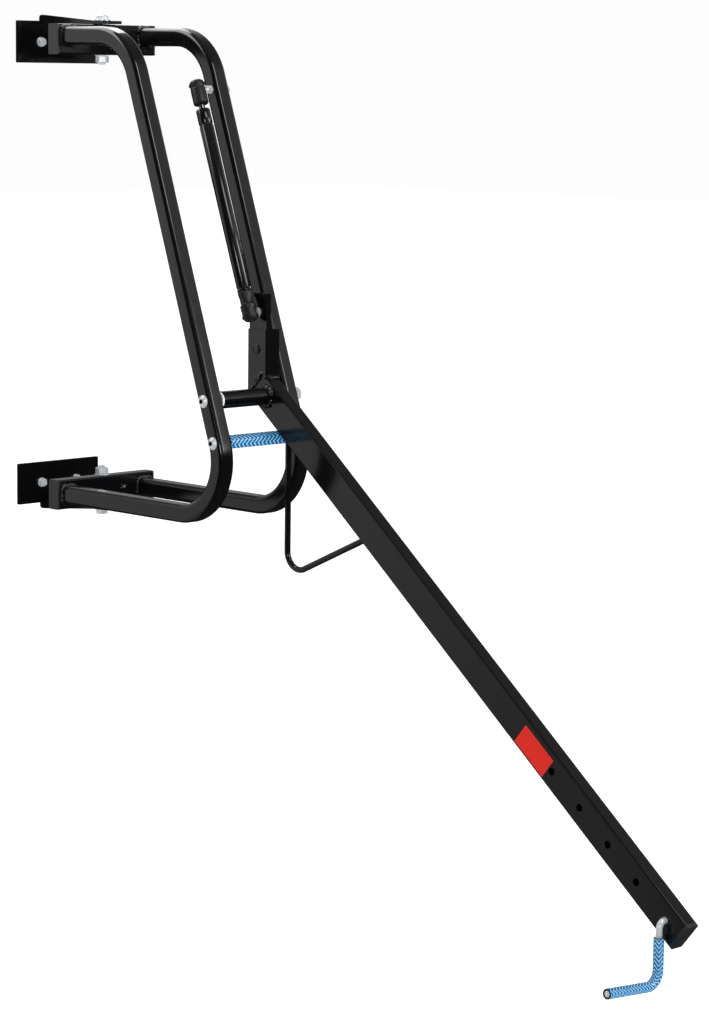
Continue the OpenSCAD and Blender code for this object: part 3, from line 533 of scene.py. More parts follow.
def braid_finish():
    """Pale yarns over deep blue, under a glossy clear skin."""
    material, tree, shader = new_finish("blue_braid")
    uv = add(tree, "ShaderNodeUVMap", -1500, 0)
    uv.uv_map = "hose_map"
    split = add(tree, "ShaderNodeSeparateXYZ", -1300, 0)
    tree.links.new(uv.outputs["UV"], split.inputs[0])
    zigzag = add(tree, "ShaderNodeMath", -1100, -150, operation="PINGPONG")
    zigzag.inputs[1].default_value = 0.125
    tree.links.new(split.outputs["Y"], zigzag.inputs[0])

    def yarns(tilt, width, x, y):
        """One family of stripes, tilted by so many pitches round a quarter turn."""
        slant = add(tree, "ShaderNodeMath", x, y, operation="MULTIPLY_ADD")
        slant.inputs[1].default_value = tilt * 4
        tree.links.new(zigzag.outputs[0], slant.inputs[0])
        tree.links.new(split.outputs["X"], slant.inputs[2])
        saw = add(tree, "ShaderNodeMath", x + 200, y, operation="PINGPONG")
        saw.inputs[1].default_value = 0.5
        tree.links.new(slant.outputs[0], saw.inputs[0])
        stripe = add(tree, "ShaderNodeMapRange", x + 400, y)
        stripe.interpolation_type = "SMOOTHSTEP"
        stripe.inputs["From Min"].default_value = 0.5 * width - 0.06
        stripe.inputs["From Max"].default_value = 0.5 * width + 0.06
        stripe.inputs["To Min"].default_value = 1.0
        stripe.inputs["To Max"].default_value = 0.0
        tree.links.new(saw.outputs[0], stripe.inputs["Value"])
        return stripe.outputs["Result"]

    front = yarns(2.3, 0.38, -900, 100)
    back = yarns(-2.3, 0.40, -900, -250)
    surface = placed_group(tree, skin, -900, -500, Grain_per_metre=300, Wave_per_metre=80)
    deep = mix_colours(tree, -350, -250, surface.outputs["Cloud"], (0.001, 0.050, 0.19), (0.002, 0.095, 0.32))
    under = mix_colours(tree, -150, -150, back, deep, (0.004, 0.14, 0.40))
    over = mix_colours(tree, 50, 0, front, under, (0.26, 0.60, 0.82))
    tree.links.new(over, shader.inputs["Base Color"])
    shader.location = (500, 0)
    tree.nodes["Material Output"].location = (800, 0)
    tree.links.new(ranged(tree, 50, -300, surface.outputs["Cloud"], 0.22, 0.34), shader.inputs["Roughness"])
    shader.inputs["Coat Weight"].default_value = 0.35
    shader.inputs["Coat Roughness"].default_value = 0.08
    bump = bumped(tree, shader, front, 0.35, 0.0004)
    bump.location = (250, -350)
    finish["blue_braid"] = material


braid_finish()
print("finishes:", sorted(finish))

# %% [markdown]
# ## Modelling helpers
# Tubes, rods, hoses and weld beads are all one shape pulled along a path, so one helper
# extrudes a ring of edges from point to point and turns it as the path turns. Round parts
# are an outline spun round an axis. Plates and blocks start from the design's own solid,
# which is merged, freed of its needless edges and bevelled.


# %% Finishing a piece
def piece(name, bm, body, slot_name, replaced=(), material=None, sharp=35, even=False):
    """Makes an object of the bmesh, gives it its finish and lets it ride on its body."""
    data = bpy.data.meshes.new(name)
    bm.to_mesh(data)
    bm.free()
    data.materials.append(finish[material or slot_name])
    for polygon in data.polygons:
        polygon.use_smooth = True
    data.set_sharp_from_angle(angle=math.radians(sharp))
    made = bpy.data.objects.new(name, data)
    scene.collection.objects.link(made)
    if even:
        weighted = made.modifiers.new("even_normals", "WEIGHTED_NORMAL")
        weighted.keep_sharp = True
    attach(made, body)
    if replaced:
        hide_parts(*replaced)
    print(name, len(data.polygons), "faces")
    return made


# %% A ring of vertices, round or a square with round corners
def looking(point, along, up=Vector((0, 1, 0))):
    """A matrix that puts local Z along a direction at a point, with local X near up."""
    along = Vector(along).normalized()
    side = Vector(up) - along * along.dot(up)
    if side.length < 1e-6:
        side = along.orthogonal()
    side.normalize()
    matrix = Matrix((side, along.cross(side), along)).transposed().to_4x4()
    return Matrix.Translation(Vector(point)) @ matrix


def ring(bm, place, radius, sides, width=0.0, height=0.0):
    """A closed ring; with a width and height it is a rectangle whose corners have the radius."""
    turn = Matrix.Rotation(math.pi / sides, 4, "Z")
    made = bmesh.ops.create_circle(bm, cap_ends=False, segments=sides, radius=radius, matrix=turn)
    for vert in made["verts"]:
        if width:
            vert.co.x += math.copysign(width / 2 - radius, vert.co.x)
            vert.co.y += math.copysign(height / 2 - radius, vert.co.y)
        vert.co = place @ vert.co
    return made["verts"]


# %% Pulling a ring along a path
def bent_path(corners, radius, step=math.radians(4)):
    """Points and directions along straight runs whose corners are arcs of one radius."""
    corners = [Vector(corner) for corner in corners]
    path = [(corners[0], (corners[1] - corners[0]).normalized())]
    for before, corner, after in zip(corners, corners[1:], corners[2:]):
        arrive = (corner - before).normalized()
        leave = (after - corner).normalized()
        turn = arrive.angle(leave)
        cut = radius * math.tan(turn / 2)
        axis = arrive.cross(leave).normalized()
        centre = corner - arrive * cut + axis.cross(arrive) * radius
        count = max(2, round(turn / step))
        for i in range(count + 1):
            spin = Matrix.Rotation(turn * i / count, 3, axis)
            path.append((centre + spin @ (corner - arrive * cut - centre), spin @ arrive))
    path.append((corners[-1], (corners[-1] - corners[-2]).normalized()))
    return path


def dense(path, spacing):
    """The same path with extra points on its long straights."""
    out = [path[0]]
    for (p0, _), (p1, along) in zip(path, path[1:]):
        count = max(1, round((p1 - p0).length / spacing))
        for i in range(1, count + 1):
            out.append((p0.lerp(p1, i / count), along if i == count else (p1 - p0).normalized()))
    return out


def pull(bm, verts, path, sizes=None, capped=True, uv_pitch=0.0):
    """Extrudes a ring along a path of (point, direction). sizes scales it at each point."""
    verts = list(verts)
    first = list(verts)
    count = len(verts)
    layer = bm.loops.layers.uv.new("hose_map") if uv_pitch else None
    here, heading = path[0]
    size = sizes[0] if sizes else 1.0
    distance = 0.0
    for i, (point, direction) in enumerate(path[1:], 1):
        if (point - here).length < 1e-7:
            continue
        edges = [bm.edges.get((verts[j], verts[(j + 1) % count])) for j in range(count)]
        made = bmesh.ops.extrude_edge_only(bm, edges=edges)["geom"]
        fresh = {v for v in made if isinstance(v, bmesh.types.BMVert)}
        nxt = [next(e.other_vert(v) for e in v.link_edges if e.other_vert(v) in fresh) for v in verts]
        grown = (sizes[i] if sizes else 1.0) / size
        move = (
            Matrix.Translation(point)
            @ heading.rotation_difference(direction).to_matrix().to_4x4()
            @ Matrix.Scale(grown, 4)
            @ Matrix.Translation(-here)
        )
        bmesh.ops.transform(bm, matrix=move, verts=nxt)
        step = (point - here).length
        if layer:
            for j in range(count):
                k = (j + 1) % count
                face = bm.faces.get((verts[j], verts[k], nxt[k], nxt[j]))
                spots = {
                    verts[j]: (distance, j / count), verts[k]: (distance, (j + 1) / count),
                    nxt[j]: (distance + step, j / count), nxt[k]: (distance + step, (j + 1) / count),
                }
                for loop in face.loops:
                    u, v = spots[loop.vert]
                    loop[layer].uv = (u / uv_pitch, v)
        here, heading, size = point, direction, sizes[i] if sizes else 1.0
        distance += step
        verts = nxt
    if capped:
        for end in (first, verts):
            bmesh.ops.contextual_create(bm, geom=end)
    bmesh.ops.recalc_face_normals(bm, faces=bm.faces)
    return first, verts


# %% Spinning an outline
def turned(profile, place, sides=48):
    """Spins an outline of (radius, height) points round its axis and moves it to its place."""
    bm = bmesh.new()
    points = [bm.verts.new((radius, 0, level)) for radius, level in profile]
    line = [bm.edges.new(pair) for pair in zip(points, points[1:])]
    bmesh.ops.spin(
        bm, geom=points + line, cent=(0, 0, 0), axis=(0, 0, 1), dvec=(0, 0, 0),
        angle=math.tau, steps=sides, use_merge=True,
    )
    bmesh.ops.remove_doubles(bm, verts=bm.verts, dist=1e-6)
    bmesh.ops.recalc_face_normals(bm, faces=bm.faces)
    bmesh.ops.transform(bm, matrix=place, verts=bm.verts)
    return bm


def arc(cx, cy, radius, start, end, count=6):
    """Points along an arc of an outline, angles in degrees."""
    out = []
    for i in range(count + 1):
        angle = math.radians(start + (end - start) * i / count)
        out.append((cx + radius * math.cos(angle), cy + radius * math.sin(angle)))
    return out


def join(bm, other):
    """Adds another bmesh to this one and frees it."""
    spare = bpy.data.meshes.new("spare")
    other.to_mesh(spare)
    other.free()
    bm.from_mesh(spare)
    bpy.data.meshes.remove(spare)
    return bm


# %% Softening a solid of the design
def softened_mesh(node, radius, segments=2, sharp=35):
    """A merged copy of a part's solid with its flat faces joined and its sharp edges rounded."""
    bm = bmesh.new()
    bm.from_mesh(nodes[node].data)
    bmesh.ops.remove_doubles(bm, verts=bm.verts, dist=2e-6)
    bmesh.ops.dissolve_limit(bm, angle_limit=math.radians(0.6), verts=bm.verts, edges=bm.edges)
    edges = [e for e in bm.edges if e.is_manifold and e.calc_face_angle() > math.radians(sharp)]
    bmesh.ops.bevel(
        bm, geom=edges, offset=radius, offset_type="OFFSET", segments=segments, profile=0.5,
        affect="EDGES", material=-1, clamp_overlap=True,
    )
    return bm


def softened(node, body, radius, segments=2, sharp=35, name=None):
    """A rounded copy of a part that stands for it."""
    slot_name = slot_of[node]
    bm = softened_mesh(node, radius, segments, sharp)
    return piece(name or "soft_" + node, bm, body, slot_name, [node], even=True)


slot_of = {part["node"]: part["material_slot"] for part in record["subparts"]}
for node, thing in nodes.items():
    thing.data.materials.clear()
    thing.data.materials.append(finish[slot_of[node]])
    for polygon in thing.data.polygons:
        polygon.material_index = 0
print("every part has its finish")

# %% [markdown]
# ## Side tubes
# Each side of the frame is one square tube, bent twice. On the real tube the corners are
# round and the bends are smooth, with the inner wall drawn in a little by the bending. A
# ring with four round corners is pulled along the centre line, with a step every two
# degrees in the bends.

# %% Side tubes
run_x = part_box("upper_crossbar")[1].x


def side_tube_path(node):
    """The centre line of a side tube, from the upper crossbar to the lower one."""
    low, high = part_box(node)
    y = (low.y + high.y) / 2
    levels = (high.z - tube_w / 2, low.z + tube_w / 2)
    corners = [Vector((pivot.x - (z - pivot.z) * math.tan(lean), y, z)) for z in levels]
    ends = [Vector((run_x, y, z)) for z in levels]
    return bent_path([ends[0], *corners, ends[1]], tube_bend, math.radians(2))


for node in ("left_side_tube", "right_side_tube"):
    bm = bmesh.new()
    path = side_tube_path(node)
    start = ring(bm, looking(*path[0]), tube_r, 40, tube_w, tube_w)
    pull(bm, start, path)
    piece(node + "_bent", bm, "frame", "frame_coat", [node], even=True)

# %% [markdown]
# ## Weld beads
# A weld bead is a row of small frozen ripples. It is a thin ring pulled round the joint
# whose size swells and shrinks with each ripple, plus a little chance. The paint runs
# smooth and glossy over it, so it sparkles.

# %% Weld beads
random.seed(7)
RIPPLE = 0.0034


def bead(name, path, radius, body, lumps=0.30, sides=12):
    """A rippled, lumpy bead along a path."""
    path = dense(path, RIPPLE / 4)
    sizes = []
    wander = []
    drift = 0.0
    sway = Vector((0, 0, 0))
    for i in range(len(path)):
        drift = 0.82 * drift + random.uniform(-lumps, lumps) * 0.5
        sway = 0.8 * sway + Vector([random.uniform(-1, 1) for _ in range(3)]) * radius * lumps * 0.22
        ripple = abs(math.sin(math.pi * i / 4)) * 0.20
        sizes.append(max(0.45, 0.95 + ripple + drift))
        wander.append(sway.copy())
    ends = 3
    for i in range(ends):
        sizes[i] *= (i + 0.4) / ends
        sizes[-1 - i] *= (i + 0.4) / ends
    path = [(point + shift, along) for (point, along), shift in zip(path, wander)]
    bm = bmesh.new()
    start = ring(bm, looking(*path[0]), radius * sizes[0], sides)
    pull(bm, start, path, sizes)
    return piece(name, bm, body, "frame_coat", material="weld_coat", sharp=75)


def square_loop(centre, w):
    """Corners of a square round a point in the Y-Z plane, closed."""
    h = w / 2
    around = [(0, -h), (h, -h), (h, h), (-h, h), (-h, -h), (0, -h)]
    return [centre + Vector((0, y, z)) for y, z in around]


for node in ("left_side_tube", "right_side_tube"):
    low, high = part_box(node)
    for end, z in (("upper", high.z - tube_w / 2), ("lower", low.z + tube_w / 2)):
        middle = Vector((run_x + 0.0006, (low.y + high.y) / 2, z))
        loop = bent_path(square_loop(middle, tube_w + 0.001), tube_r, math.radians(9))
        bead(f"{node}_{end}_weld", loop, 0.0033, "frame", 0.40)

# %% [markdown]
# ## Crossbars and their caps
# The crossbars and the arm are flat tube with small round corners. The open ends are
# closed by plastic caps, whose flange is as big as the tube and shows a fine joint line.
# The design's solids are right, so they are only softened.

# %% Crossbars and caps
for node in ("upper_crossbar", "lower_crossbar"):
    softened(node, "frame", 0.0004)
softened("crossbar_end_caps", "frame", 0.0012, 3, 50)
softened("hinge_sleeves", "frame", 0.0004)

plug_low, plug_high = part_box("crossbar_plug")
plug_middle = (plug_low + plug_high) / 2
plug_radius = (plug_high.z - plug_low.z) / 2
plug_outline = [(0.0041, -0.004), (0.0041, 0.0), (plug_radius - 0.0006, 0.0)]
plug_outline += [(plug_radius, 0.0005), (plug_radius - 0.0002, 0.0012)]
plug_outline += [(plug_radius * math.cos(a), 0.0012 + 0.0038 * math.sin(a))
                 for a in (0.25, 0.5, 0.75, 1.0, 1.25, 1.45)] + [(0, 0.005)]
bm = turned(plug_outline, looking((run_x, plug_middle.y, plug_middle.z), (1, 0, 0)))
piece("crossbar_plug_dome", bm, "frame", "plug_plastic", ["crossbar_plug"])

# %% [markdown]
# ## Wall brackets
# Each bracket is pressed from 5 mm plate: a wall plate, an ear for the hinge bolt and a
# lip that stiffens it. Sheared and painted plate never has sharp edges, so the solid gets
# a bevel of almost a millimetre.

# %% Wall brackets
for node in ("upper_wall_bracket", "lower_wall_bracket"):
    softened(node, "wall", 0.0009, 3, 40)

# %% [markdown]
# ## Bolts, nuts and screws
# A hexagon head is a turned blank with six flats milled on it, which leaves the curved
# chamfer lines at its corners. The same order makes it here: spin the blank, then pull in
# every vertex that stands outside the hexagon. Threads are a small tooth spun along a
# helix.


# %% Hexagons and threads
def to_hexagon(bm, across, low, high, inside=math.inf):
    """Pulls vertices between two levels in to a hexagon's flats, as milling does."""
    for vert in bm.verts:
        radius = math.hypot(vert.co.x, vert.co.y)
        if not (low - 1e-6 <= vert.co.z <= high + 1e-6) or radius < 1e-6 or radius > inside:
            continue
        off = math.atan2(vert.co.y, vert.co.x) % (math.pi / 3) - math.pi / 6
        flat = across / 2 / math.cos(off)
        if radius > flat:
            vert.co.x *= flat / radius
            vert.co.y *= flat / radius


def hex_head(across, height, top_dish=0.0):
    """Outline of a hexagon head from its top middle down to its underside."""
    corner = across / 2 / math.cos(math.pi / 6)
    flat = across * 0.46
    return [(0, height - top_dish), (flat * 0.8, height - top_dish), (flat * 0.86, height),
            (flat, height), (corner, height - (corner - flat) * 0.55), (corner, 0.0)]


def thread(bm, radius, tooth, pitch, start, length):
    """Adds a helical thread round the local Z axis, going down from start."""
    turns = length / pitch
    steps = int(24 * turns)
    verts = [
        bm.verts.new((radius - 0.0002, 0, start)),
        bm.verts.new((radius + tooth, 0, start - pitch * 0.35)),
        bm.verts.new((radius - 0.0002, 0, start - pitch * 0.7)),
    ]
    line = [bm.edges.new((verts[0], verts[1])), bm.edges.new((verts[1], verts[2]))]
    bmesh.ops.spin(
        bm, geom=verts + line, cent=(0, 0, 0), axis=(0, 0, 1), dvec=(0, 0, -length / steps),
        angle=math.tau * turns, steps=steps, use_merge=False,
    )


def placed(bm, place):
    """Moves a finished bmesh to its place."""
    bmesh.ops.recalc_face_normals(bm, faces=bm.faces)
    bmesh.ops.transform(bm, matrix=place, verts=bm.verts)
    return bm


HERE = Matrix.Identity(4)


# %% Swivel bolts, nuts and washers
def hex_bolt(across, head_h, shank, length, thread_l):
    """Bolt with its head above the local origin and its shank below."""
    end = shank / 2
    tooth = 0.0003
    outline = hex_head(across, head_h, 0.0004) + [
        (end, 0.0), (end, -length + thread_l), (end - tooth, -length + thread_l - 0.0005),
        (end - tooth, -length + 0.001), (end - 0.0014, -length), (0, -length)]
    bm = turned(outline, HERE, 72)
    to_hexagon(bm, across, 0, head_h)
    thread(bm, end - tooth, tooth, 0.00175, -length + thread_l - 0.0005, thread_l - 0.002)
    return bm


def hex_nut(across, height, hole):
    """Nut that stands on the local origin, chamfered on both sides."""
    corner = across / 2 / math.cos(math.pi / 6)
    flat = across * 0.46
    slope = (corner - flat) * 0.55
    inner = hole / 2
    outline = [(inner, 0.0008), (inner + 0.0008, 0.0), (flat, 0.0), (corner, slope),
               (corner, height - slope), (flat, height), (inner + 0.0008, height),
               (inner, height - 0.0008), (inner, 0.0008)]
    bm = turned(outline, HERE, 72)
    to_hexagon(bm, across, -1, 1)
    return bm


HEX_ACROSS = 1.58 * bolt_d
for side, sign in (("upper", 1), ("lower", -1)):
    bolt_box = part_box(f"{side}_hinge_bolt")
    nut_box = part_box(f"{side}_hinge_nut")
    head_h = 0.63 * bolt_d
    top = (bolt_box[1].z if sign > 0 else -bolt_box[0].z) - head_h
    tail = bolt_box[0].z if sign > 0 else -bolt_box[1].z
    bm = hex_bolt(HEX_ACROSS, head_h, bolt_d, top - tail, 0.022)
    place = looking((hinge_x, 0, sign * top), (0, 0, sign), (1, 0.3, 0))
    piece(f"{side}_hinge_bolt_turned", placed(bm, place), "wall", "zinc", [f"{side}_hinge_bolt"], sharp=28)
    nut_top = (nut_box[1].z if sign > 0 else -nut_box[0].z)
    nut_low = (nut_box[0].z if sign > 0 else -nut_box[1].z)
    bm = hex_nut(HEX_ACROSS, nut_top - nut_low, bolt_d - 0.0003)
    place = looking((hinge_x, 0, sign * nut_low), (0, 0, sign), (1, -0.2, 0))
    piece(f"{side}_hinge_nut_milled", placed(bm, place), "wall", "zinc", [f"{side}_hinge_nut"], sharp=28)
softened("hinge_bolt_washers", "wall", 0.0005)
softened("slip_washers", "wall", 0.0002)

# %% Wall screws
screw_low, screw_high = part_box("wall_screws")
PLATE_T = 0.005
SCREW_D = 0.008
bm = bmesh.new()
for y in (screw_low.y + SCREW_D, screw_high.y - SCREW_D):
    for z in (screw_low.z + SCREW_D, screw_high.z - SCREW_D):
        flange = SCREW_D
        across = 1.62 * SCREW_D
        corner = across / 2 / math.cos(math.pi / 6)
        head = 0.65 * SCREW_D
        outline = [(0, head + 0.0016), (0.0042, head + 0.0016), (0.0046, head + 0.002),
                   (across * 0.46, head + 0.002), (corner, head + 0.0013), (corner, 0.0021),
                   (corner + 0.0003, 0.0014), (flange - 0.0002, 0.0009), (flange, 0.0005),
                   (flange, 0), (0.004, 0), (0.004, -0.012), (0.0031, -0.013), (0.0028, -0.042),
                   (0.0003, -0.05), (0, -0.05)]
        screw = turned(outline, HERE, 72)
        to_hexagon(screw, across, 0.002, 1)
        thread(screw, 0.0029, 0.0010, 0.0035, -0.014, 0.028)
        place = looking((PLATE_T, y, z), (1, 0, 0), (0, 1, random.uniform(-1, 1)))
        join(bm, placed(screw, place))
piece("wall_screws_turned", bm, "wall", "zinc", ["wall_screws"], sharp=28)

# %% [markdown]
# ## Pivot and stop bolts
# Two long bolts cross the frame, with domed heads on the left and nuts on the right. Each
# head has a hexagon socket. The dome and the socket are one outline, and only the
# vertices of the socket are pulled in to a hexagon. The socket gets the near-black
# finish as painted shade in its recess.

# %% Cross bolts
outer_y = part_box("right_side_tube")[1].y


def cross_bolt(node, nut_node):
    """A button-head bolt across the frame, with its nut."""
    low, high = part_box(node)
    x, z = (low.x + high.x) / 2, (low.z + high.z) / 2
    head_r, head_h = 0.85 * bolt_d, 0.55 * bolt_d
    key = 0.60 * bolt_d
    key_r = key / 2 / math.cos(math.pi / 6)
    dome = (head_r * head_r + head_h * head_h) / (2 * head_h)
    edge_angle = math.asin(head_r / dome)
    inner_angle = math.asin((key_r + 0.0006) / dome)
    floor_level = head_h * 0.25
    outline = [(0, floor_level - 0.0012), (key_r, floor_level),
               (key_r, dome * math.cos(inner_angle) - dome + head_h - 0.0004)]
    for i in range(9):
        a = inner_angle + (edge_angle - inner_angle) * i / 8
        outline.append((dome * math.sin(a), dome * math.cos(a) - dome + head_h))
    outline[-1] = (head_r, 0.0008)
    length = high.y - low.y - head_h
    end = bolt_d / 2
    outline += [(head_r - 0.0003, 0.0), (end, 0), (end, -length + 0.020), (end - 0.0003, -length + 0.0195),
                (end - 0.0003, -length + 0.001), (end - 0.0014, -length), (0, -length)]
    bm = turned(outline, HERE, 72)
    to_hexagon(bm, key, 0, head_h, key_r + 1e-5)
    thread(bm, end - 0.0003, 0.0003, 0.00175, -length + 0.0195, 0.018)
    place = looking((x, -outer_y, z), (0, -1, 0), (0.3, 0, 1))
    # The socket faces get the near-black second finish: painted shade in the recess.
    for face in bm.faces:
        middle = face.calc_center_median()
        if math.hypot(middle.x, middle.y) < key_r and middle.z > 0:
            face.material_index = 1
    made = piece(node + "_turned", placed(bm, place), "frame", "zinc", [node], sharp=28)
    made.data.materials.append(finish["spring_steel"])
    nut_low, nut_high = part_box(nut_node)
    bm = hex_nut(HEX_ACROSS, nut_high.y - nut_low.y, bolt_d - 0.0003)
    place = looking((x, nut_low.y, z), (0, 1, 0), (0.2, 0, 1))
    piece(nut_node + "_milled", placed(bm, place), "frame", "zinc", [nut_node], sharp=28)
    return Vector((x, 0, z))


cross_bolt("pivot_bolt", "pivot_nut")
stop_axis = cross_bolt("stop_bolt", "stop_nut")

# %% Stop hose
hose_low, hose_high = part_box("stop_hose")
stop_radius = (hose_high.z - hose_low.z) / 2
STOP_YARN_PITCH = 0.0084


def hose(name, node, path, radius, hole, body, start_up, yarn_pitch=YARN_PITCH):
    """A braided hose along a path, with a hole through its ends."""
    bm = bmesh.new()
    skin_ring = ring(bm, looking(*path[0], start_up), radius, 48)
    first, last = pull(bm, skin_ring, path, capped=False, uv_pitch=yarn_pitch)
    for end_ring, (point, along), out in ((first, path[0], -1), (last, path[-1], 1)):
        edges = [e for e in bm.edges if e.is_boundary and e.verts[0] in end_ring and e.verts[1] in end_ring]
        for size, shift in ((0.96, 0.0004), (hole / radius, 0.0), (0.98 * hole / radius, -0.006)):
            made = bmesh.ops.extrude_edge_only(bm, edges=edges)["geom"]
            fresh = [v for v in made if isinstance(v, bmesh.types.BMVert)]
            edges = [e for e in made if isinstance(e, bmesh.types.BMEdge)]
            middle = sum((v.co for v in fresh), Vector()) / len(fresh)
            now = (fresh[0].co - middle).length
            move = (Matrix.Translation(middle + along * out * shift)
                    @ Matrix.Scale(size * radius / now, 4) @ Matrix.Translation(-middle))
            bmesh.ops.transform(bm, matrix=move, verts=fresh)
            for edge in edges:
                for face in edge.link_faces:
                    face.material_index = 1
    bmesh.ops.recalc_face_normals(bm, faces=bm.faces)
    made = piece(name, bm, body, "blue_braid", [node], sharp=50)
    made.data.materials.append(finish["hose_end"])
    return made


stop_start = Vector((stop_axis.x, hose_low.y + 0.0004, stop_axis.z))
stop_end = Vector((stop_axis.x, hose_high.y - 0.0004, stop_axis.z))
CAMERA_SIDE = Vector((0.72, -0.68, 0.1))
hose("stop_hose_braided", "stop_hose", dense(bent_path([stop_start, stop_end], 0.1), 0.004),
     stop_radius, bolt_d / 2 + 0.0002, "frame", Vector((1, 0, 0.55)), STOP_YARN_PITCH)

# %% [markdown]
# ## Arm
# The arm is flat tube with four spare holes for the hook. Its solid is right, so it is
# softened too. The label is a plain red film with rounded corners. The
# end cap has strongly bevelled outer edges, so that nobody scratches a bicycle on it.

# %% Arm, sleeve and lever
softened("arm_tube", "arm", 0.0005)
softened("pivot_tube", "arm", 0.0004)
softened("left_pivot_bush", "arm", 0.0005)
softened("right_pivot_bush", "arm", 0.0005)
softened("lever_sleeve", "arm", 0.0004)
softened("lever_bar", "arm", 0.0010, 3)
softened("arm_end_cap", "arm", 0.0030, 4, 50)
softened("arm_label", "arm", 0.0001, 1)

rivet_low, rivet_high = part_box("lever_rivet")
rivet_r = (rivet_high.z - rivet_low.z) / 2
rivet_h = 0.0025
rivet_outline = [(0, rivet_h)]
rivet_outline += [(rivet_r * math.sin(a), rivet_h * math.cos(a) ** 0.7) for a in (0.3, 0.6, 0.9, 1.2, 1.45)]
rivet_outline += [(rivet_r, 0.0), (0.005, 0.0), (0.005, -0.012), (0.0069, -0.012)]
rivet_outline += [(0.0069 * math.cos(a), -0.012 - rivet_h * math.sin(a)) for a in (0.4, 0.8, 1.2)]
rivet_outline += [(0, -0.012 - rivet_h)]
rivet_middle = (rivet_low + rivet_high) / 2
bm = turned(rivet_outline, looking((rivet_middle.x, rivet_low.y + rivet_h, rivet_middle.z), (0, -1, 0)))
piece("lever_rivet_turned", bm, "arm", "frame_coat", ["lever_rivet"], sharp=45)

# %% Welds of the arm
arm_low_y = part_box("arm_tube")[0].y
arm_far_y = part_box("arm_tube")[1].y
sleeve_low, sleeve_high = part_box("lever_sleeve")


def circle_path(centre, axis, radius, up, count=48):
    """A closed circle as a path."""
    base = looking(centre, axis, up)
    out = []
    for i in range(count + 1):
        a = math.tau * i / count
        spot = base @ Vector((radius * math.cos(a), radius * math.sin(a), 0))
        out.append((spot, (base.to_3x3() @ Vector((-math.sin(a), math.cos(a), 0))).normalized()))
    return out


pivot_weld_r = 0.0148
for label, y, size in (("left", arm_low_y, 0.0042), ("right", arm_far_y, 0.0022)):
    centre = Vector((pivot.x, y, pivot.z))
    bead(f"pivot_{label}_weld", circle_path(centre, (0, 1, 0), pivot_weld_r, (1, 0, 0)), size, "arm", 0.50)

half = flat_h / 2
arm_back = 0.030


def on_arm(along, up, y):
    """A point given along the arm and above its middle line."""
    spot = pivot + arm_along * along + arm_up * up
    return Vector((spot.x, y, spot.z))


front_x = sleeve_high.x
front_along = (front_x - pivot.x - arm_up.x * half) / arm_along.x
seam_low = on_arm(front_along, half, 0)
seam_x = front_x + 0.0005
seam = [(seam_x, sleeve_low.y + 0.002, seam_low.z), (seam_x, sleeve_high.y - 0.002, seam_low.z)]
bead("sleeve_front_weld", bent_path(seam, 0.01), 0.0042, "arm", 0.50)
for label, y in (("left", arm_low_y - 0.0002), ("right", arm_far_y + 0.0002)):
    bead(f"sleeve_{label}_weld", bent_path([
        on_arm(front_along, half, y), on_arm(-arm_back, half, y), on_arm(-arm_back, -half + 0.004, y)],
        0.003, math.radians(15)), 0.0034, "arm", 0.45)

# %% [markdown]
# ## Wheel loop
# The rear tyre leans on a bent rod under the arm. The rod is pulled along its centre line
# and welded to the arm's underside at both ends.

# %% Wheel loop
loop_low, loop_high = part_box("wheel_loop")
LOOP_D = 0.010
LOOP_BEND = 0.028
LOOP_RISE = math.radians(24.7)
loop_x = loop_low.x + LOOP_D / 2
loop_y = (loop_low.y + loop_high.y) / 2
under_z = pivot.z - (half / arm_up.z + (loop_x - pivot.x) * -arm_along.z / arm_along.x)
turn = math.pi / 2 + LOOP_RISE
corner_z = loop_low.z + LOOP_D / 2 + LOOP_BEND - LOOP_BEND * math.tan(turn / 2)
loop_corner = Vector((loop_x, loop_y, corner_z))
slope = -arm_along.z / arm_along.x
return_run = (under_z - corner_z) / (math.tan(LOOP_RISE) + slope)
loop_end = loop_corner + Vector((return_run, 0, return_run * math.tan(LOOP_RISE)))
bm = bmesh.new()
loop_start = Vector((loop_x, loop_y, under_z + 0.004))
reach = (loop_end - loop_corner).normalized() * 0.004
path = bent_path([loop_start, loop_corner, loop_end + reach], LOOP_BEND, math.radians(3))
start = ring(bm, looking(*path[0]), LOOP_D / 2, 32)
pull(bm, start, path)
piece("wheel_loop_bent", bm, "arm", "loop_coat", ["wheel_loop"])
for label, spot in (("rear", Vector((loop_x, loop_y, under_z))), ("front", loop_end)):
    bead(f"loop_{label}_weld", circle_path(spot, arm_up, LOOP_D / 2 + 0.0012, (0, 1, 0), 32), 0.0020, "arm")

# %% [markdown]
# ## Gas strut
# The strut is a black tube with a rolled groove and a crimped end, a rod, and a plastic
# socket at each end that snaps over a ball. The tube and the two sockets are outlines spun
# round the strut's axis. The outlines run down the strut from the upper ball, so a distance
# can be read off the parts' own ends.


# %% Distances along the strut
def along_strut(node):
    """Nearest and farthest distance of a part from the upper ball, down the strut."""
    spots = [(v.co - ball_top).dot(strut_down) for v in nodes[node].data.vertices]
    return min(spots), max(spots)


STRUT_SIDE = Vector((1, -1, 0))
strut_place = looking(ball_top, -strut_down, STRUT_SIDE)
cyl_start, cyl_end = along_strut("strut_cylinder")
strut_l = (ball_low - ball_top).length
CYL_R = 0.0115
CYL_SHIFT = 0.0035
cyl_end += CYL_SHIFT


def strut_outline(points):
    """Outline points (radius, distance down the strut) as (radius, height)."""
    return [(radius, -distance) for radius, distance in points]


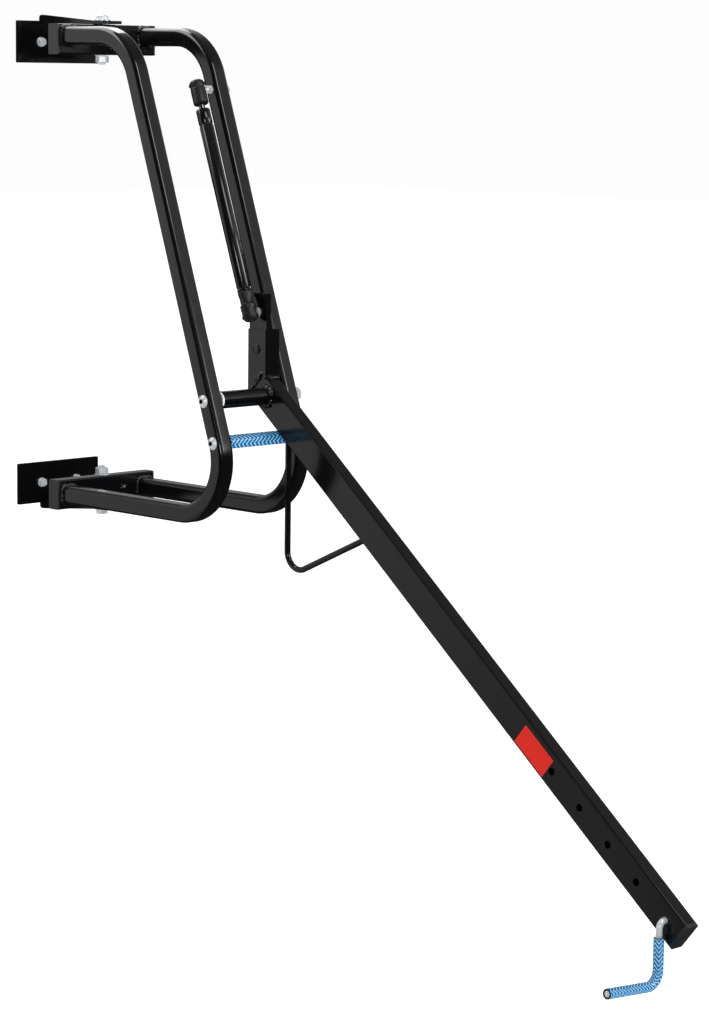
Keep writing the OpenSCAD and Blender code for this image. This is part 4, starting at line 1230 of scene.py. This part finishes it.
groove = cyl_start + 0.027
crimp = cyl_end - 0.006
points = [(0.0055, cyl_start + 0.0012), (0.0085, cyl_start + 0.0006), (CYL_R - 0.0022, cyl_start)]
points += [(CYL_R - 0.0007, cyl_start + 0.0006), (CYL_R, cyl_start + 0.0022)]
points += [(CYL_R, groove - 0.0022), (CYL_R - 0.0006, groove - 0.0013), (CYL_R - 0.0010, groove),
           (CYL_R - 0.0006, groove + 0.0013), (CYL_R, groove + 0.0022)]
points += [(CYL_R, crimp - 0.0022), (CYL_R - 0.0006, crimp - 0.0013), (CYL_R - 0.0010, crimp),
           (CYL_R - 0.0006, crimp + 0.0013), (CYL_R, crimp + 0.0022)]
points += [(CYL_R, cyl_end - 0.0012), (CYL_R - 0.0012, cyl_end), (0.004, cyl_end)]
bm = turned(strut_outline(points), strut_place, 64)
piece("strut_cylinder_rolled", bm, "strut_cylinder", "cylinder_coat", ["strut_cylinder"], sharp=40)

# %% Sockets
SOCKET_R = 0.0125
up_start, up_end = along_strut("upper_socket")
points = [(0, up_start + 0.0004), (0.006, up_start + 0.0006)]
points += [(0.0065 + r, up_start + 0.006 + h) for r, h in arc(0, 0, 0.0055, -90, 0, 6)]
points += [(0.0120, -0.0030), (0.0117, -0.0026), (0.0117, -0.0018), (0.0122, -0.0014)]
points += [(SOCKET_R, 0.0), (SOCKET_R, up_end - 0.0045)]
points += [(SOCKET_R - 0.0028 + r, up_end - 0.0030 + h) for r, h in arc(0, 0, 0.0028, 0, 90, 4)]
points += [(0.0070, up_end), (0.0066, up_end - 0.006), (0.0040, up_end - 0.006)]
bm = turned(strut_outline(points), strut_place, 64)
piece("upper_socket_moulded", bm, "strut_rod", "socket_plastic", ["upper_socket"], sharp=40)

low_start, low_end = along_strut("lower_socket")
low_start += CYL_SHIFT
points = [(0.004, low_start), (0.0112, low_start), (0.0118, low_start + 0.0008)]
points += [(0.0118, low_start + 0.0035), (0.0112, low_start + 0.0070), (0.0108, low_start + 0.0105),
           (0.0108, strut_l - 0.0135), (0.0114, strut_l - 0.0120), (0.0128, strut_l - 0.0108)]
points += [(0.0129, strut_l - 0.0096), (0.0125, strut_l - 0.0086), (SOCKET_R, strut_l - 0.0040)]
points += [(0.0121, strut_l - 0.0036), (0.0121, strut_l + 0.0032), (SOCKET_R, strut_l + 0.0036)]
points += [(SOCKET_R, strut_l + 0.0068), (0.0119, strut_l + 0.0074), (0.0119, strut_l + 0.0080)]
points += [(0.0124, strut_l + 0.0086), (0.0122, strut_l + 0.0100), (0.0098, strut_l + 0.0138)]
points += [(0.0092, strut_l + 0.0134), (0.0084, strut_l + 0.0146), (0.0074, strut_l + 0.0150)]
points += [(0.0066, strut_l + 0.0146), (0.0055, strut_l + 0.0156), (0.0, low_end)]
bm = turned(strut_outline(points), strut_place, 64)
piece("lower_socket_moulded", bm, "strut_cylinder", "socket_plastic", ["lower_socket"], sharp=40)

# %% [markdown]
# ## Hook
# The front wheel hangs on a bent zinc rod. It passes through the arm and carries a nut
# behind it, and the same braided hose covers the part that the rim rests on.

# %% Hook rod
rod_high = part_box("hook_rod")[1]
cover_low, cover_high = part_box("hook_hose")
ROD_R = 0.005
HOOK_TILT = math.radians(4.8)
HOOK_BEND = 0.012
HOOK_DROP = 0.095
HOOK_REACH = 0.113
HOOK_CORNER = 0.022
leg_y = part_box("arm_tube")[0].y - HOOK_BEND - 0.0005
cover_r = (cover_high.x - cover_low.x) / 2
foot_z = hook_hole.z - HOOK_DROP
tip = Vector((hook_hole.x, leg_y - HOOK_REACH * math.cos(HOOK_TILT),
              foot_z + HOOK_REACH * math.sin(HOOK_TILT)))
foot = Vector((hook_hole.x, leg_y, foot_z))
knee = Vector((hook_hole.x, leg_y, hook_hole.z))
tail = Vector((hook_hole.x, rod_high.y, hook_hole.z))


def hook_line(start, radius_first):
    """Centre line from the rod's tail over the knee, down the leg and out to the tip."""
    first = bent_path([start, knee, foot], radius_first, math.radians(5))
    second = bent_path([knee, foot, tip], HOOK_CORNER, math.radians(3))
    return first[:-1] + second[1:]


bm = bmesh.new()
path = hook_line(tail, HOOK_BEND)
inset = (path[-1][0] - path[-1][1] * 0.0006, path[-1][1])
path = path[:-1] + [inset]
start = ring(bm, looking(*path[0]), ROD_R, 40)
pull(bm, start, path)
rims = [e for e in bm.edges if len(e.link_faces) == 2 and e.calc_face_angle() > 1.2]
bmesh.ops.bevel(bm, geom=rims, offset=0.0006, offset_type="OFFSET", segments=2, profile=0.5,
                affect="EDGES", material=-1)
piece("hook_rod_bent", bm, "hook", "zinc", ["hook_rod"])

# %% Hook hose, nut and washer
cover_top = Vector((hook_hole.x, leg_y, cover_high.z))
path = bent_path([cover_top, foot, tip], HOOK_CORNER, math.radians(3))
path = [(path[0][0] - Vector((0, 0, 0.0004)), path[0][1])] + path[1:-1] + [
    (path[-1][0] - path[-1][1] * 0.0004, path[-1][1])]
hose("hook_hose_braided", "hook_hose", dense(path, 0.003), cover_r, ROD_R + 0.0002, "hook", CAMERA_SIDE)

nut_low, nut_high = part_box("hook_nut")
bm = hex_nut(0.016, nut_high.y - nut_low.y, 0.0100)
place = looking((hook_hole.x, nut_low.y, hook_hole.z), (0, 1, 0), (0.4, 0, 1))
piece("hook_nut_milled", placed(bm, place), "hook", "zinc", ["hook_nut"], sharp=28)
softened("hook_washer", "hook", 0.0003)
